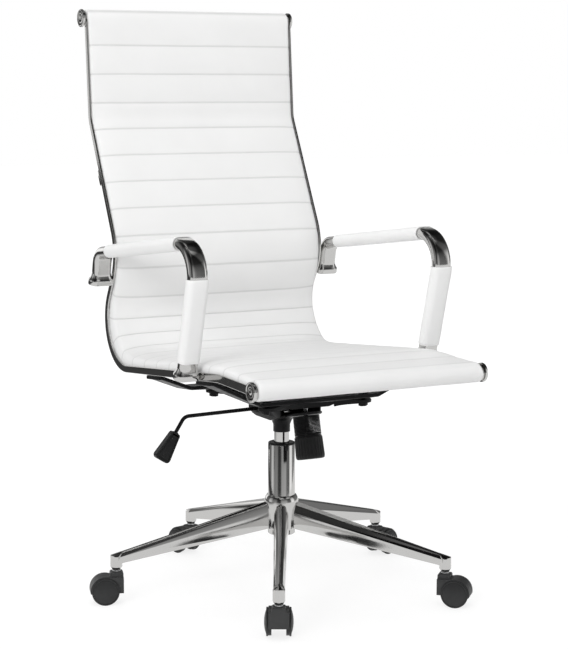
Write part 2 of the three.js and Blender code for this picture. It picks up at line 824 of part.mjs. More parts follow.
const pinHalf = waistHalfWidth + 1.5;
addPart('tilt_pivot_pin', turnedAlong(X, new THREE.Vector3(-pinHalf, pivotY, pivotZ), [
  [0, 0],
  [pivotRadius - 1, 0],
  [pivotRadius, 1],
  [pivotRadius, 2 * pinHalf - 1],
  [pivotRadius - 1, 2 * pinHalf],
  [0, 2 * pinHalf],
], 14), steel);

// ---- tension spring, bolt, washer and knob on the leaning axis ----
class SpringPath extends THREE.Curve {
  constructor(radius, length, turns) {
    super();
    this.radius = radius;
    this.length = length;
    this.turns = turns;
  }

  getPoint(t, target = new THREE.Vector3()) {
    const angle = t * this.turns * 2 * Math.PI;
    return target.set(this.radius * Math.cos(angle), this.radius * Math.sin(angle), t * this.length);
  }

  getPointAt(u, target) {
    return this.getPoint(u, target);
  }

  // the wire's section stays square to the spring's axis all the way up
  computeFrenetFrames(segments) {
    const tangents = [];
    const normals = [];
    const binormals = [];
    const climb = this.length / (this.turns * 2 * Math.PI * this.radius);
    for (let i = 0; i <= segments; i += 1) {
      const angle = (i / segments) * this.turns * 2 * Math.PI;
      const tangent = new THREE.Vector3(-Math.sin(angle), Math.cos(angle), climb).normalize();
      const normal = new THREE.Vector3(Math.cos(angle), Math.sin(angle), 0);
      tangents.push(tangent);
      normals.push(normal);
      binormals.push(tangent.clone().cross(normal));
    }
    return { tangents, normals, binormals };
  }
}

const wireSection = new THREE.Shape();
wireSection.absellipse(0, 0, springWireWidth / 2, springWireHeight / 2, 0, Math.PI * 2, false, 0);
const coilLength = springLength - springWireHeight - 2 * gap;
const coil = new THREE.ExtrudeGeometry(wireSection, {
  steps: springTurns * 11,
  curveSegments: 3,
  extrudePath: new SpringPath((springDiameter - springWireWidth) / 2, coilLength, springTurns),
});
const springFoot = alongSpring(springLength - gap - springWireHeight / 2);
addPart('tension_spring', coil
  .applyQuaternion(new THREE.Quaternion().setFromUnitVectors(Z, springAxis.clone().negate()))
  .translate(springFoot.x, springFoot.y, springFoot.z), darkSteel);

const washerThickness = 2;
const boltRadius = tensionBoltDiameter / 2;
addPart('tension_washer', turnedAlong(springAxis, alongSpring(springLength + gap), [
  [boltRadius + gap, 0],
  [springDiameter / 2 - 1, 0],
  [springDiameter / 2 - 1, washerThickness],
  [boltRadius + gap, washerThickness],
  [boltRadius + gap, 0],
], 24), steel);

const knobStart = springLength + washerThickness + 2 * gap;
function knob() {
  const outline = [];
  const stepsPerFlute = 4;
  const count = knobFluteCount * stepsPerFlute;
  for (let i = 0; i < count; i += 1) {
    const angle = (i / count) * Math.PI * 2;
    const radius = knobTopDiameter / 2 - knobFluteDepth * (0.5 - 0.5 * Math.cos(angle * knobFluteCount));
    outline.push([radius * Math.cos(angle), radius * Math.sin(angle)]);
  }
  const edge = 2;
  const body = new THREE.ExtrudeGeometry(shapeOf(outline), {
    depth: knobLength - 2 * edge,
    steps: 1,
    bevelEnabled: true,
    bevelSize: edge * 0.6,
    bevelThickness: edge,
    bevelOffset: -edge * 0.6,
    bevelSegments: 1,
  }).translate(0, 0, edge);
  const position = body.attributes.position;
  const growth = knobEndDiameter / knobTopDiameter - 1;
  for (let i = 0; i < position.count; i += 1) {
    const scale = 1 + growth * (position.getZ(i) / knobLength);
    position.setXYZ(i, position.getX(i) * scale, position.getY(i) * scale, position.getZ(i));
  }
  body.applyQuaternion(new THREE.Quaternion().setFromUnitVectors(Z, springAxis));
  const start = alongSpring(knobStart);
  body.translate(start.x, start.y, start.z);
  const bore = rod(springAxis, alongSpring(knobStart - 1), 0.7 * knobLength + 1, boltRadius + gap, 16);
  return cut(body, bore);
}
addPart('tension_knob', knob(), blackPlastic);

// the bolt hangs from its head on the seat plate and runs down through tongue, spring and washer
const boltHeadSeat = (springTop.z - plateTop) / Math.cos(lean) - gap - 1.6;
const boltHeadDepth = 5;
const boltEnd = knobStart + 0.7 * knobLength - tensionTravel - 2 * gap;
addPart('tension_bolt', turnedAlong(springAxis, alongSpring(boltHeadSeat - boltHeadDepth), [
  [0, 0],
  [boltRadius + 2.5, 0],
  [boltRadius + 3.5, 1],
  [boltRadius + 3.5, boltHeadDepth],
  [boltRadius, boltHeadDepth],
  [boltRadius, boltEnd - boltHeadSeat + boltHeadDepth],
  [0, boltEnd - boltHeadSeat + boltHeadDepth],
], 18), steel);

// ---- lever ----
const leverInnerEnd = 14;
const leverBend = new THREE.Vector3(-leverReach, 0, leverZ - 3);
const gripTip = new THREE.Vector3(-leverReach - leverGripOut, 0, leverZ - leverDroop);
const gripAxis = gripTip.clone().sub(leverBend).normalize();
const gripTop = gripTip.clone().addScaledVector(gripAxis, -gripLength);
const rodTail = gripTop.clone().addScaledVector(gripAxis, 0.6 * gripLength);
const wallOutside = -housingHalfWidth;
const leverStations = filletStations(
  [
    new THREE.Vector3(leverInnerEnd, 0, leverZ),
    new THREE.Vector3(wallOutside - 10, 0, leverZ),
    leverBend,
    rodTail,
  ],
  [30, leverBendRadius],
  12,
);
addPart('lever_rod', sweep(disc(leverRadius), leverStations, Y, 5), darkSteel);

const bushShankLength = 14;
const bushFlange = 3.5;
addPart('lever_bush', turnedAlong(X, new THREE.Vector3(wallOutside - gap - bushFlange, 0, leverZ), [
  [leverRadius + leverPlay, 0],
  [bushShankRadius + 1.4, 0],
  [bushShankRadius + 2.4, 1],
  [bushShankRadius + 2.4, bushFlange],
  [bushShankRadius, bushFlange],
  [bushShankRadius, bushFlange + bushShankLength],
  [leverRadius + leverPlay, bushFlange + bushShankLength],
  [leverRadius + leverPlay, 0],
], 16), blackPlastic);

function grip() {
  const top = gripTopWidth / 2;
  const end = gripEndWidth / 2;
  const edge = gripThickness / 6;
  const flank = gripLength - 8 * edge; // where the straight flanks end
  // paddle seen face on: a narrow neck spreading into a rounded end
  const shape = new THREE.Shape();
  shape.moveTo(-top + edge, 0);
  shape.lineTo(top - edge, 0);
  shape.quadraticCurveTo(top, 0, top + 0.25 * edge, 1.5 * edge);
  shape.lineTo(end - 0.5 * edge, flank);
  const corner = gripLength - 2.5 * edge;
  const tip = gripLength - 0.75 * edge;
  shape.quadraticCurveTo(end + 0.5 * edge, corner, end - 3.5 * edge, tip);
  shape.quadraticCurveTo(0, gripLength + edge, -end + 3.5 * edge, tip);
  shape.quadraticCurveTo(-end - 0.5 * edge, corner, -end + 0.5 * edge, flank);
  shape.lineTo(-top - 0.25 * edge, 1.5 * edge);
  shape.quadraticCurveTo(-top, 0, -top + edge, 0);
  const body = new THREE.ExtrudeGeometry(shape, {
    depth: gripThickness - 2 * edge,
    curveSegments: 4,
    bevelEnabled: true,
    bevelSize: edge,
    bevelThickness: edge,
    bevelOffset: -edge,
    bevelSegments: 2,
  }).translate(0, 0, edge - gripThickness / 2);
  // lay the face toward the front with its length down the lever's tail
  const across = gripAxis.clone().cross(Y).negate().normalize();
  const lay = new THREE.Matrix4().makeBasis(across, gripAxis, across.clone().cross(gripAxis));
  body.applyMatrix4(lay).translate(gripTop.x, gripTop.y, gripTop.z);
  const bore = rod(gripAxis, gripTop.clone().addScaledVector(gripAxis, -5), 0.6 * gripLength + 5 + gap,
    leverRadius + gap, 14);
  return cut(body, bore);
}
addPart('lever_grip', grip(), blackPlastic);

// ================= seat plate =================
function seatPlate() {
  const half = waistHalfWidth;
  const frontY = -frontBoltForward;
  const rearY = rearBoltBack;
  // butterfly from above: a waist over the mechanism, four arms to the bolt pads
  const right = new THREE.Path();
  right.moveTo(half - 8, frontY + 18);
  right.lineTo(boltSpread - 10, frontY - padRadius + 1.8);
  right.absarc(boltSpread, frontY, padRadius, -Math.PI * 0.62, Math.PI * 0.28, false);
  right.lineTo(half, frontY + waistFrontSet);
  right.lineTo(half, rearY - waistRearSet);
  right.lineTo(boltSpread + 9, rearY - 12);
  right.absarc(boltSpread, rearY, padRadius, -Math.PI * 0.28, Math.PI * 0.62, false);
  right.lineTo(half - 10, rearY - 16);
  const edge = right.getPoints(3);
  const outline = edge.map((p) => [p.x, p.y]);
  for (const p of edge.slice().reverse()) outline.push([-p.x, p.y]);
  const plan = shapeOf(outline);
  const reach = boltSpread + padRadius + 5;
  // seen from the front the arms thin out in a hollow curve toward their tips
  const knee = half + 0.25 * (reach - half);
  const kneeZ = plateTop - plateTipDepth - 0.15 * (plateRootDepth - plateTipDepth);
  const depthSide = new THREE.Shape();
  depthSide.moveTo(-reach, plateTop - plateTipDepth);
  depthSide.quadraticCurveTo(-knee, kneeZ, -half, plateTop - plateRootDepth);
  depthSide.lineTo(half, plateTop - plateRootDepth);
  depthSide.quadraticCurveTo(knee, kneeZ, reach, plateTop - plateTipDepth);
  depthSide.lineTo(reach, plateTop);
  depthSide.lineTo(-reach, plateTop);
  const blank = common(planSlab(plan, plateTop - 2 * plateRootDepth, plateTop + 1),
    frontSlab(depthSide, frontY - 3 * padRadius, rearY + 3 * padRadius, 0, 5));
  let solid = solidOf(blank)
    .subtract(solidOf(planSlab(plan, plateTop - 2 * plateRootDepth, plateTop - plateSheet, plateGauge)))
    .subtract(solidOf(box(-half - 0.5, half + 0.5, 2 * frontY, rearY - 50, 0, plateTop - 12)));
  // two lugs reach down inside the housing and hang on the pivot pin
  const lugOuter = housingHalfWidth - plateGauge - turnGap;
  for (const side of [-1, 1]) {
    const [x0, x1] = side < 0 ? [-lugOuter, -lugOuter + plateGauge] : [lugOuter - plateGauge, lugOuter];
    const lug = new THREE.Shape();
    lug.moveTo(pivotY - 15, plateTop - plateSheet + 1);
    lug.lineTo(pivotY - 9, pivotZ);
    lug.absarc(pivotY, pivotZ, 9, Math.PI, Math.PI * 2, false);
    lug.lineTo(pivotY + 15, plateTop - plateSheet + 1);
    solid = solid.add(solidOf(sideSlab(lug, x0, x1, 0, 4)));
  }
  solid = solid.subtract(solidOf(rod(X, new THREE.Vector3(-housingHalfWidth, pivotY, pivotZ),
    2 * housingHalfWidth, pivotRadius + gap, 14)));
  // holes for the bolts into the cross bars and for the tension bolt
  for (const x of [-boltSpread, boltSpread]) {
    for (const y of [frontY, rearY]) {
      const boltStart = new THREE.Vector3(x, y, plateTop - plateRootDepth);
      const boltHole = rod(Z, boltStart, 2 * plateRootDepth, boltHeadDiameter / 4 + gap, 12);
      solid = solid.subtract(solidOf(boltHole));
    }
  }
  solid = solid.subtract(solidOf(rod(springAxis, alongSpring(-2 * plateRootDepth), 2 * plateRootDepth,
    boltRadius + 1.6, 16)));
  return geometryOf(solid);
}
addPart('seat_plate', seatPlate(), darkSteel);

// ================= side rails =================
const sidePoint = (x, [y, z]) => new THREE.Vector3(x, y, barFloor + z);
const railCorners = [frontRoll, seatCorner, lumbarCorner, shoulderCorner, neckCorner, topRoll];
const railRadii = [seatCornerRadius, lumbarCornerRadius, shoulderCornerRadius, neckCornerRadius];
const railLine = filletStations(railCorners.map((corner) => sidePoint(0, corner)), railRadii, 13);
const railLength = railLine[railLine.length - 1].travelled;

// a station's (y, z) moved off the line; positive is the sitter's side
function beside(station, offset) {
  return [station.point.y - station.tangent.z * offset, station.point.z + station.tangent.y * offset];
}

const rollRadius = rollDiameter / 2;
const capSpigotRadius = rollBarDiameter / 2 - rollBarWall - gap;
const rollCentres = [railLine[0].point, railLine[railLine.length - 1].point];
const railOuter = railSpan + railThickness;
const armOut = railOuter + armStandoff;

function railGeometry() {
  const halfDepth = (station) => THREE.MathUtils.lerp(railFrontDepth, railTopDepth,
    station.travelled / railLength) / 2;
  const upper = railLine.map((s) => beside(s, halfDepth(s)));
  const lower = railLine.map((s) => beside(s, -halfDepth(s)));
  const blade = shapeOf([...lower, ...upper.reverse()]);
  let solid = solidOf(sideSlab(blade, railSpan, railOuter, 1));
  for (const centre of rollCentres) {
    const eye = rod(X, centre.clone().setX(railSpan), railThickness, rollRadius - 2.5, 20);
    solid = solid.add(solidOf(eye));
  }
  for (const centre of rollCentres) {
    const hole = rod(X, centre.clone().setX(railSpan - 5), railThickness + 10, capSpigotRadius + gap, 14);
    solid = solid.subtract(solidOf(hole));
  }
  return geometryOf(solid);
}
const rail = railGeometry();
addPart('side_rail_left', rail, chrome);
addPart('side_rail_right', mirrored(rail), chrome);

// ---- tubes inside the two rolls ----
const innerSpan = railSpan - gap;
['front_roll_bar', 'top_roll_bar'].forEach((name, i) => {
  const outer = rollBarDiameter / 2;
  const inner = outer - rollBarWall;
  addPart(name, turnedAlong(X, rollCentres[i].clone().setX(-innerSpan), [
    [inner, 0],
    [outer, 0],
    [outer, 2 * innerSpan],
    [inner, 2 * innerSpan],
    [inner, 0],
  ], 20), steel);
});

// ---- end caps: a ringed disc with a spigot through the rail's eye into the roll bar ----
function endCap() {
  const spigot = 24;
  const face = capThickness;
  return turned([
    [0, -railThickness - gap - spigot],
    [capSpigotRadius, -railThickness - gap - spigot],
    [capSpigotRadius, 0],
    [rollRadius, 0],
    [rollRadius, face - 1],
    [rollRadius - 1, face],
    [rollRadius - capRingWidth, face],
    [rollRadius - capRingWidth - 0.6, face - 1],
    [rollRadius - 2 * capRingWidth, face - 1],
    [rollRadius - 2 * capRingWidth - 0.6, face],
    [0, face],
  ], 18);
}
const capNames = ['front_cap', 'top_cap'];
capNames.forEach((name, i) => {
  for (const side of [-1, 1]) {
    const cap = endCap().rotateY((Math.PI / 2) * side);
    const centre = rollCentres[i];
    cap.translate(side * (railOuter + gap), centre.y, centre.z);
    addPart(`${name}_${side > 0 ? 'left' : 'right'}`, cap, chrome);
  }
});

// ================= cross bars =================
// flat bars bolted to the seat plate, their ends bent up to the undersides of the rails
function railUnderside(y) {
  const at = distanceWhere(railLine, 'y', y, 0, seatCornerRadius + seatCorner[0] - frontRoll[0]);
  const station = stationAt(railLine, at);
  const half = THREE.MathUtils.lerp(railFrontDepth, railTopDepth, at / railLength) / 2;
  return station.point.z - half / station.tangent.y;
}

function seatCrossBar(y) {
  const halfGauge = crossBarGauge / 2;
  const low = Math.min(railUnderside(y - crossBarWidth / 2), railUnderside(y + crossBarWidth / 2));
  const landingZ = low - gap - halfGauge;
  const midZ = barFloor + halfGauge;
  const landing = railSpan - 4; // where the raised end turns level again under the rail
  const breakX = landing - (landingZ - midZ) / Math.tan(crossBarRise * degrees);
  const line = [
    [-railOuter + 0.5, landingZ],
    [-landing, landingZ],
    [-breakX, midZ],
    [breakX, midZ],
    [landing, landingZ],
    [railOuter - 0.5, landingZ],
  ].map(([x, z]) => new THREE.Vector3(x, y, z));
  const section = shapeOf([
    [-crossBarWidth / 2, -halfGauge + 1],
    [-crossBarWidth / 2 + 1, -halfGauge],
    [crossBarWidth / 2 - 1, -halfGauge],
    [crossBarWidth / 2, -halfGauge + 1],
    [crossBarWidth / 2, halfGauge - 1],
    [crossBarWidth / 2 - 1, halfGauge],
    [-crossBarWidth / 2 + 1, halfGauge],
    [-crossBarWidth / 2, halfGauge - 1],
  ]);
  let solid = solidOf(sweep(section, filletStations(line, [12, 14, 14, 12], 11), Y));
  // welded studs: nut on top, shank through the seat plate, hexagon head below it
  for (const x of [-boltSpread, boltSpread]) {
    const headTop = plateTop - plateTipDepth - gap;
    const studFoot = new THREE.Vector3(x, y, headTop - boltHeadHeight);
    const studTop = new THREE.Vector3(x, y, barTop - 1);
    solid = solid
      .add(solidOf(rod(Z, studFoot, barTop - studFoot.z, boltHeadDiameter / 4, 12)))
      .add(solidOf(rod(Z, studFoot, boltHeadHeight, boltHeadDiameter / 2, 6)))
      .add(solidOf(rod(Z, studTop, 0.6 * boltHeadHeight, boltHeadDiameter / 2, 6)));
  }
  return geometryOf(solid);
}
addPart('seat_cross_bar_front', seatCrossBar(-frontBoltForward), darkSteel);
addPart('seat_cross_bar_rear', seatCrossBar(rearBoltBack), darkSteel);

// ---- stretcher behind the back, its ends bent forward to the rails' rear edges ----
function backCrossBar() {
  const at = distanceWhere(railLine, 'z', barFloor + backBarHeight, railLength / 2);
  const station = stationAt(railLine, at);
  const half = THREE.MathUtils.lerp(railFrontDepth, railTopDepth, at / railLength) / 2;
  const halfGauge = crossBarGauge / 2;
  const [landY, landZ] = beside(station, -(half + gap + halfGauge));
  const [backY, backZ] = beside(station, -backBarOffset);
  const landing = railSpan - 4;
  const rise = Math.hypot(backY - landY, backZ - landZ);
  const breakX = landing - rise / Math.tan(2 * crossBarRise * degrees);
  const line = [
    [-railOuter + 0.5, landY, landZ],
    [-landing, landY, landZ],
    [-breakX, backY, backZ],
    [breakX, backY, backZ],
    [landing, landY, landZ],
    [railOuter - 0.5, landY, landZ],
  ].map(([x, y, z]) => new THREE.Vector3(x, y, z));
  // bend the line in a level plane, then lean it to lie square to the rail
  const flatLine = line.map((p) => new THREE.Vector3(p.x, 0, Math.hypot(p.y - backY, p.z - backZ)));
  const section = shapeOf([
    [-crossBarWidth / 2, -halfGauge],
    [crossBarWidth / 2, -halfGauge],
    [crossBarWidth / 2, halfGauge],
    [-crossBarWidth / 2, halfGauge],
  ]);
  const bar = sweep(section, filletStations(flatLine, [10, 14, 14, 10], 14), Y);
  const towardRail = new THREE.Vector3(0, landY - backY, landZ - backZ).normalize();
  bar.applyQuaternion(new THREE.Quaternion().setFromUnitVectors(Z, towardRail));
  return bar.translate(0, backY, backZ);
}
addPart('back_cross_bar', backCrossBar(), darkSteel);

// ================= sling =================
// one padded sheet: ribs swell between stitched seams, both ends wrap a roll bar
const slingLine = filletStations(
  railCorners.map((corner) => sidePoint(0, corner)),
  [seatCornerRadius + slingBridge, ...railRadii.slice(1)],
  13,
);
const slingLength = slingLine[slingLine.length - 1].travelled;

function slingGeometry() {
  const rise = (share) => Math.sqrt(Math.max(0, 1 - (2 * share - 1) ** 2));
  const shares = [0, 0.14, 0.5, 0.86];
  const front = [];
  const back = [];
  const from = rollRadius * 0.7;
  const pitch = (slingLength - 2 * from) / slingRibCount;
  for (let rib = 0; rib < slingRibCount; rib += 1) {
    for (const share of shares) {
      const station = stationAt(slingLine, from + (rib + share) * pitch);
      const thickness = THREE.MathUtils.lerp(slingSeam, slingCrown, rise(share));
      front.push(beside(station, thickness * 0.6));
      back.push(beside(station, -slingSeam / 2 - (thickness - slingSeam) * 0.15));
    }
  }
  const end = stationAt(slingLine, slingLength - from);
  front.push(beside(end, slingSeam * 0.6));
  back.push(beside(end, -slingSeam / 2));
  const sheet = sideSlab(shapeOf([...back, ...front.reverse()]), -innerSpan, innerSpan);
  let solid = solidOf(sheet);
  for (const centre of rollCentres) {
    solid = solid.add(solidOf(rod(X, centre.clone().setX(-innerSpan), 2 * innerSpan, rollRadius, 26)));
  }
  for (const centre of rollCentres) {
    solid = solid.subtract(solidOf(rod(X, centre.clone().setX(-innerSpan - 1), 2 * innerSpan + 2,
      rollBarDiameter / 2 + gap, 16)));
  }
  return geometryOf(solid);
}
addPart('sling', slingGeometry(), whiteLeather);

// ================= arms =================
const armLine = filletStations(
  [armRearFoot, armRearCorner, armFrontCorner, armFrontFoot].map((corner) => sidePoint(armOut, corner)),
  [armRearRadius, armFrontRadius],
  11,
);
const armLength = armLine[armLine.length - 1].travelled;

// flared foot on the end of an arm: `end` is where the tube stops, `up` runs into the tube
function armFoot(end, up) {
  const [wide, deep] = [footWidth / 2, footDepth / 2];
  const neck = armTubeDepth / 2 + 0.5;
  const bell = turned([
    [0, 0],
    [deep - 1, 0],
    [deep, 1],
    [deep, footHeight - 1],
    [deep - 1.5, footHeight],
    [neck + 0.4 * (deep - neck), footHeight + 0.25 * footFlare],
    [neck, footHeight + footFlare],
    [0, footHeight + footFlare],
  ], 18).scale(wide / deep, 1, 1);
  bell.applyQuaternion(new THREE.Quaternion().setFromUnitVectors(Z, up));
  return bell.translate(end.x, end.y, end.z);
}

function armLoop() {
  const first = armLine[0];
  const last = armLine[armLine.length - 1];
  const railFace = railOuter + gap;
  const far = 2 * railLength;
  const clearOfRail = box(-railFace, railFace, -far, far, 0, far);
  let solid = solidOf(sweep(stadium(armTubeWidth, armTubeDepth), armLine, X, 3))
    .add(solidOf(armFoot(first.point, first.tangent)))
    .add(solidOf(armFoot(last.point, last.tangent.clone().negate())));
  // weld tab from each foot onto the outer face of the rail
  for (const { point } of [first, last]) {
    const tab = box(railFace, armOut, point.y - 10, point.y + 10, point.z - 6, point.z + 4);
    solid = solid.add(solidOf(tab));
  }
  // the tube is open at both feet
  const pastEnd = (station, reach) => ({
    ...station,
    point: station.point.clone().addScaledVector(station.tangent, reach),
  });
  const hollowLine = [pastEnd(first, -armTubeDepth), ...armLine.slice(1, -1), pastEnd(last, armTubeDepth)];
  const hollow = sweep(
    stadium(armTubeWidth - 2 * armTubeWall, armTubeDepth - 2 * armTubeWall), hollowLine, X, 3);
  return geometryOf(solid.subtract(solidOf(hollow)).subtract(solidOf(clearOfRail)));
}
const arm = armLoop();
addPart('arm_loop_left', arm, chrome);
addPart('arm_loop_right', mirrored(arm), chrome);

function sleeve(from, to) {
  const inner = stadium(armTubeWidth + 2 * gap, armTubeDepth + 2 * gap);
  const outer = stadium(armTubeWidth + 2 * (gap + sleeveWall), armTubeDepth + 2 * (gap + sleeveWall));
  outer.holes.push(new THREE.Path(inner.getPoints(3).reverse()));
  return sweep(outer, stationsBetween(armLine, from, to), X, 3);
}
const topSleeve = sleeve(
  distanceWhere(armLine, 'y', topSleeveRear, 0),
  distanceWhere(armLine, 'y', topSleeveFront),
);
const uprightFrom = armLength / 2;
const uprightSleeve = sleeve(
  distanceWhere(armLine, 'z', barFloor + uprightSleeveTop, uprightFrom),
  distanceWhere(armLine, 'z', barFloor + uprightSleeveFoot, uprightFrom),
);
addPart('arm_top_sleeve_left', topSleeve, whiteLeather);
addPart('arm_top_sleeve_right', mirrored(topSleeve), whiteLeather);
addPart('arm_upright_sleeve_left', uprightSleeve, whiteLeather);
addPart('arm_upright_sleeve_right', mirrored(uprightSleeve), whiteLeather);

// ---- stand the chair with the middle of its footprint on the origin ----
const extent = new THREE.Box3().setFromObject(chair);
const centre = extent.getCenter(new THREE.Vector3());
for (const mesh of chair.children) mesh.geometry.translate(-centre.x, -centre.y, -extent.min.z);

export default chair;
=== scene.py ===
import json
import math

import bmesh
import bpy
from mathutils import Matrix, Vector, noise


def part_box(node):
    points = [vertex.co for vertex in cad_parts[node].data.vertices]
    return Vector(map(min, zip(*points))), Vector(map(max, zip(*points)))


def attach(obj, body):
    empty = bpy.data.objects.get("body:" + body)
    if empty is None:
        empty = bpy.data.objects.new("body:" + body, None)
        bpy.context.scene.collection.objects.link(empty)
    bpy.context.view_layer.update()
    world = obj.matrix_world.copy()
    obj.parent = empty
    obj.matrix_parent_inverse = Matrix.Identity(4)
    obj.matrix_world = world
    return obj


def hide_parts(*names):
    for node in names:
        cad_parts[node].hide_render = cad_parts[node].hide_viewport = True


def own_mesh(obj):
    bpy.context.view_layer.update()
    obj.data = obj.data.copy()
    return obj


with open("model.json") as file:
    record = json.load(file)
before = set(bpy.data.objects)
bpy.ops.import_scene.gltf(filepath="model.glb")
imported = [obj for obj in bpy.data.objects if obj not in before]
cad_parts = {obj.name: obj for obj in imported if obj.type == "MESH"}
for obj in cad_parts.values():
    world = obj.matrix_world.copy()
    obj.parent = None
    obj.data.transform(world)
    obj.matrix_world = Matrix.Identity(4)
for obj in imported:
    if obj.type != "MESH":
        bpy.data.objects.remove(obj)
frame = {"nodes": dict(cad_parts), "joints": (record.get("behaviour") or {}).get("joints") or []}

scene = bpy.context.scene
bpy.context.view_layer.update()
joints = {joint["name"]: joint for joint in frame["joints"]}
columnLow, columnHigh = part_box("column_outer_tube")
columnX = (columnLow.x + columnHigh.x) / 2
columnY = (columnLow.y + columnHigh.y) / 2
hairGap = 0.0003  # left between pieces that lie against each other
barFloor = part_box("seat_plate")[1].z + hairGap  # the level the cross bars rest on
railLow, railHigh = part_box("side_rail_left")


# small helpers
def mm(value):
    return value / 1000


def clamp(value):
    return min(1.0, max(0.0, value))


def eased(share):
    return share * share * (3 - 2 * share)


def setAll(target, **settings):
    for key, value in settings.items():
        setattr(target, key, value)
    return target


def clearSelection():
    if bpy.context.object and bpy.context.object.mode != "OBJECT":
        bpy.ops.object.mode_set(mode="OBJECT")
    bpy.ops.object.select_all(action="DESELECT")


def makeActive(piece):
    clearSelection()
    piece.select_set(True)
    bpy.context.view_layer.objects.active = piece


def editAll(piece):
    makeActive(piece)
    bpy.ops.object.mode_set(mode="EDIT")
    bpy.ops.mesh.select_all(action="SELECT")


def leaveEdit():
    bpy.ops.object.mode_set(mode="OBJECT")


# selects what passes the test: faces by middle and normal, edges by both ends, corners by place
def pick(piece, kind, test):
    bpy.ops.mesh.select_mode(type=kind)
    bpy.ops.mesh.select_all(action="DESELECT")
    shape = bmesh.from_edit_mesh(piece.data)
    if kind == "FACE":
        chosen = [face for face in shape.faces if test(face.calc_center_median(), face.normal)]
    elif kind == "EDGE":
        chosen = [edge for edge in shape.edges if test(edge.verts[0].co, edge.verts[1].co)]
    else:
        chosen = [vert for vert in shape.verts if test(vert.co)]
    for element in chosen:
        element.select_set(True)
    if kind == "VERT":
        shape.select_flush(True)
    bmesh.update_edit_mesh(piece.data)


def extrudeBy(*move):
    bpy.ops.mesh.extrude_region_move(TRANSFORM_OT_translate={"value": move})


def resizeAbout(centre, *scale):
    bpy.ops.transform.resize(value=scale, center_override=centre)


def addModifier(piece, kind, **settings):
    makeActive(piece)
    return setAll(piece.modifiers.new(kind.lower(), kind), **settings)


def bake(piece, kind, **settings):
    modifier = addModifier(piece, kind, **settings)
    bpy.ops.object.modifier_apply(modifier=modifier.name)


def bevelEdges(piece, width, segments, angle, harden=False):
    bake(
        piece, "BEVEL", width=width, segments=segments, limit_method="ANGLE",
        angle_limit=math.radians(angle), harden_normals=harden,
    )


def smooth(piece, angle):
    makeActive(piece)
    bpy.ops.object.shade_smooth_by_angle(angle=math.radians(angle))
    return piece


def settle(piece):
    makeActive(piece)
    bpy.ops.object.transform_apply(location=True, rotation=True, scale=True)
    return piece


def outward(piece, merge=0.00002):
    editAll(piece)
    if merge:
        bpy.ops.mesh.remove_doubles(threshold=merge)
    bpy.ops.mesh.normals_make_consistent(inside=False)
    leaveEdit()


def called(piece, name):
    piece.name = name
    piece.data.name = name
    return piece


def newObject(name, mesh):
    piece = bpy.data.objects.new(name, mesh)
    scene.collection.objects.link(piece)
    return called(piece, name)


# turns a piece made along +Z at the origin onto an axis and into place
def place(piece, direction, position):
    turn = Vector(direction).to_track_quat("Z", "Y").to_matrix().to_4x4()
    piece.matrix_world = Matrix.Translation(position) @ turn
    return settle(piece)


def copyOf(piece, name):
    clearSelection()
    twin = newObject(name, piece.data.copy())
    twin.matrix_world = piece.matrix_world.copy()
    return twin


def finishPiece(piece, body, slotName, nodes, finishes=()):
    piece.data.materials.clear()
    for finish in finishes or [slotFinish[slotName]]:
        piece.data.materials.append(finish)
    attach(piece, body)
    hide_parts(*nodes)
    return piece


# camera
cameraSetup = {
    "fromColumn": (-1.562, -2.9504, 0.951),
    "heading": 27.96,  # degrees from +Y toward +X
    "downward": 7.748,
    "roll": 0.188,
    "lens": 102.2,
    "sensor": 36.0,
    "farthest": 60,
}


def makeCamera(setup):
    clearSelection()
    bpy.ops.object.camera_add()
    camera = bpy.context.object
    camera.name = "studioCamera"
    x, y, z = setup["fromColumn"]
    camera.location = (columnX + x, columnY + y, z)
    tilt, turn = math.radians(90 - setup["downward"]), -math.radians(setup["heading"])
    camera.rotation_euler = (tilt, 0, turn)
    camera.rotation_euler.rotate_axis("Z", math.radians(setup["roll"]))
    lens, sensor, farthest = setup["lens"], setup["sensor"], setup["farthest"]
    setAll(camera.data, lens=lens, sensor_width=sensor, clip_end=farthest)
    scene.camera = camera


makeCamera(cameraSetup)
print("camera ready")


# node material helpers
def newFinish(name):
    finish = bpy.data.materials.new(name)
    finish.use_nodes = True
    return finish, finish.node_tree, finish.node_tree.nodes["Principled BSDF"]


# a socket is linked, anything else is set on the input itself
def setInputs(node, inputs):
    for key, value in inputs.items():
        if isinstance(value, bpy.types.NodeSocket):
            node.id_data.links.new(value, node.inputs[key])
        else:
            node.inputs[key].default_value = value


def addNode(tree, kind, inputs=None, **settings):
    node = setAll(tree.nodes.new(kind), **settings)
    setInputs(node, inputs or {})
    return node


def objectPlace(tree):
    return addNode(tree, "ShaderNodeTexCoord").outputs["Object"]


def objectNoise(tree, scale, detail=3.0, roughness=0.5):
    inputs = {"Scale": scale, "Detail": detail, "Roughness": roughness}
    inputs["Vector"] = objectPlace(tree)
    return addNode(tree, "ShaderNodeTexNoise", inputs).outputs["Fac"]


def ranged(tree, value, low, high, fromLow=0.3, fromHigh=0.7):
    inputs = {"From Min": fromLow, "From Max": fromHigh, "To Min": low, "To Max": high}
    inputs["Value"] = value
    return addNode(tree, "ShaderNodeMapRange", inputs).outputs["Result"]


def maths(tree, operation, *values):
    inputs = dict(enumerate(values))
    return addNode(tree, "ShaderNodeMath", inputs, operation=operation).outputs["Value"]


def mixColour(tree, share, first, second, blend="MIX"):
    node = addNode(tree, "ShaderNodeMix", {"Factor": share}, data_type="RGBA", blend_type=blend)
    sockets = [socket for socket in node.inputs if socket.type == "RGBA"]
    for socket, value in zip(sockets, (first, second)):
        if isinstance(value, tuple):
            socket.default_value = (*value, 1.0)
        else:
            tree.links.new(value, socket)
    return [socket for socket in node.outputs if socket.type == "RGBA"][0]


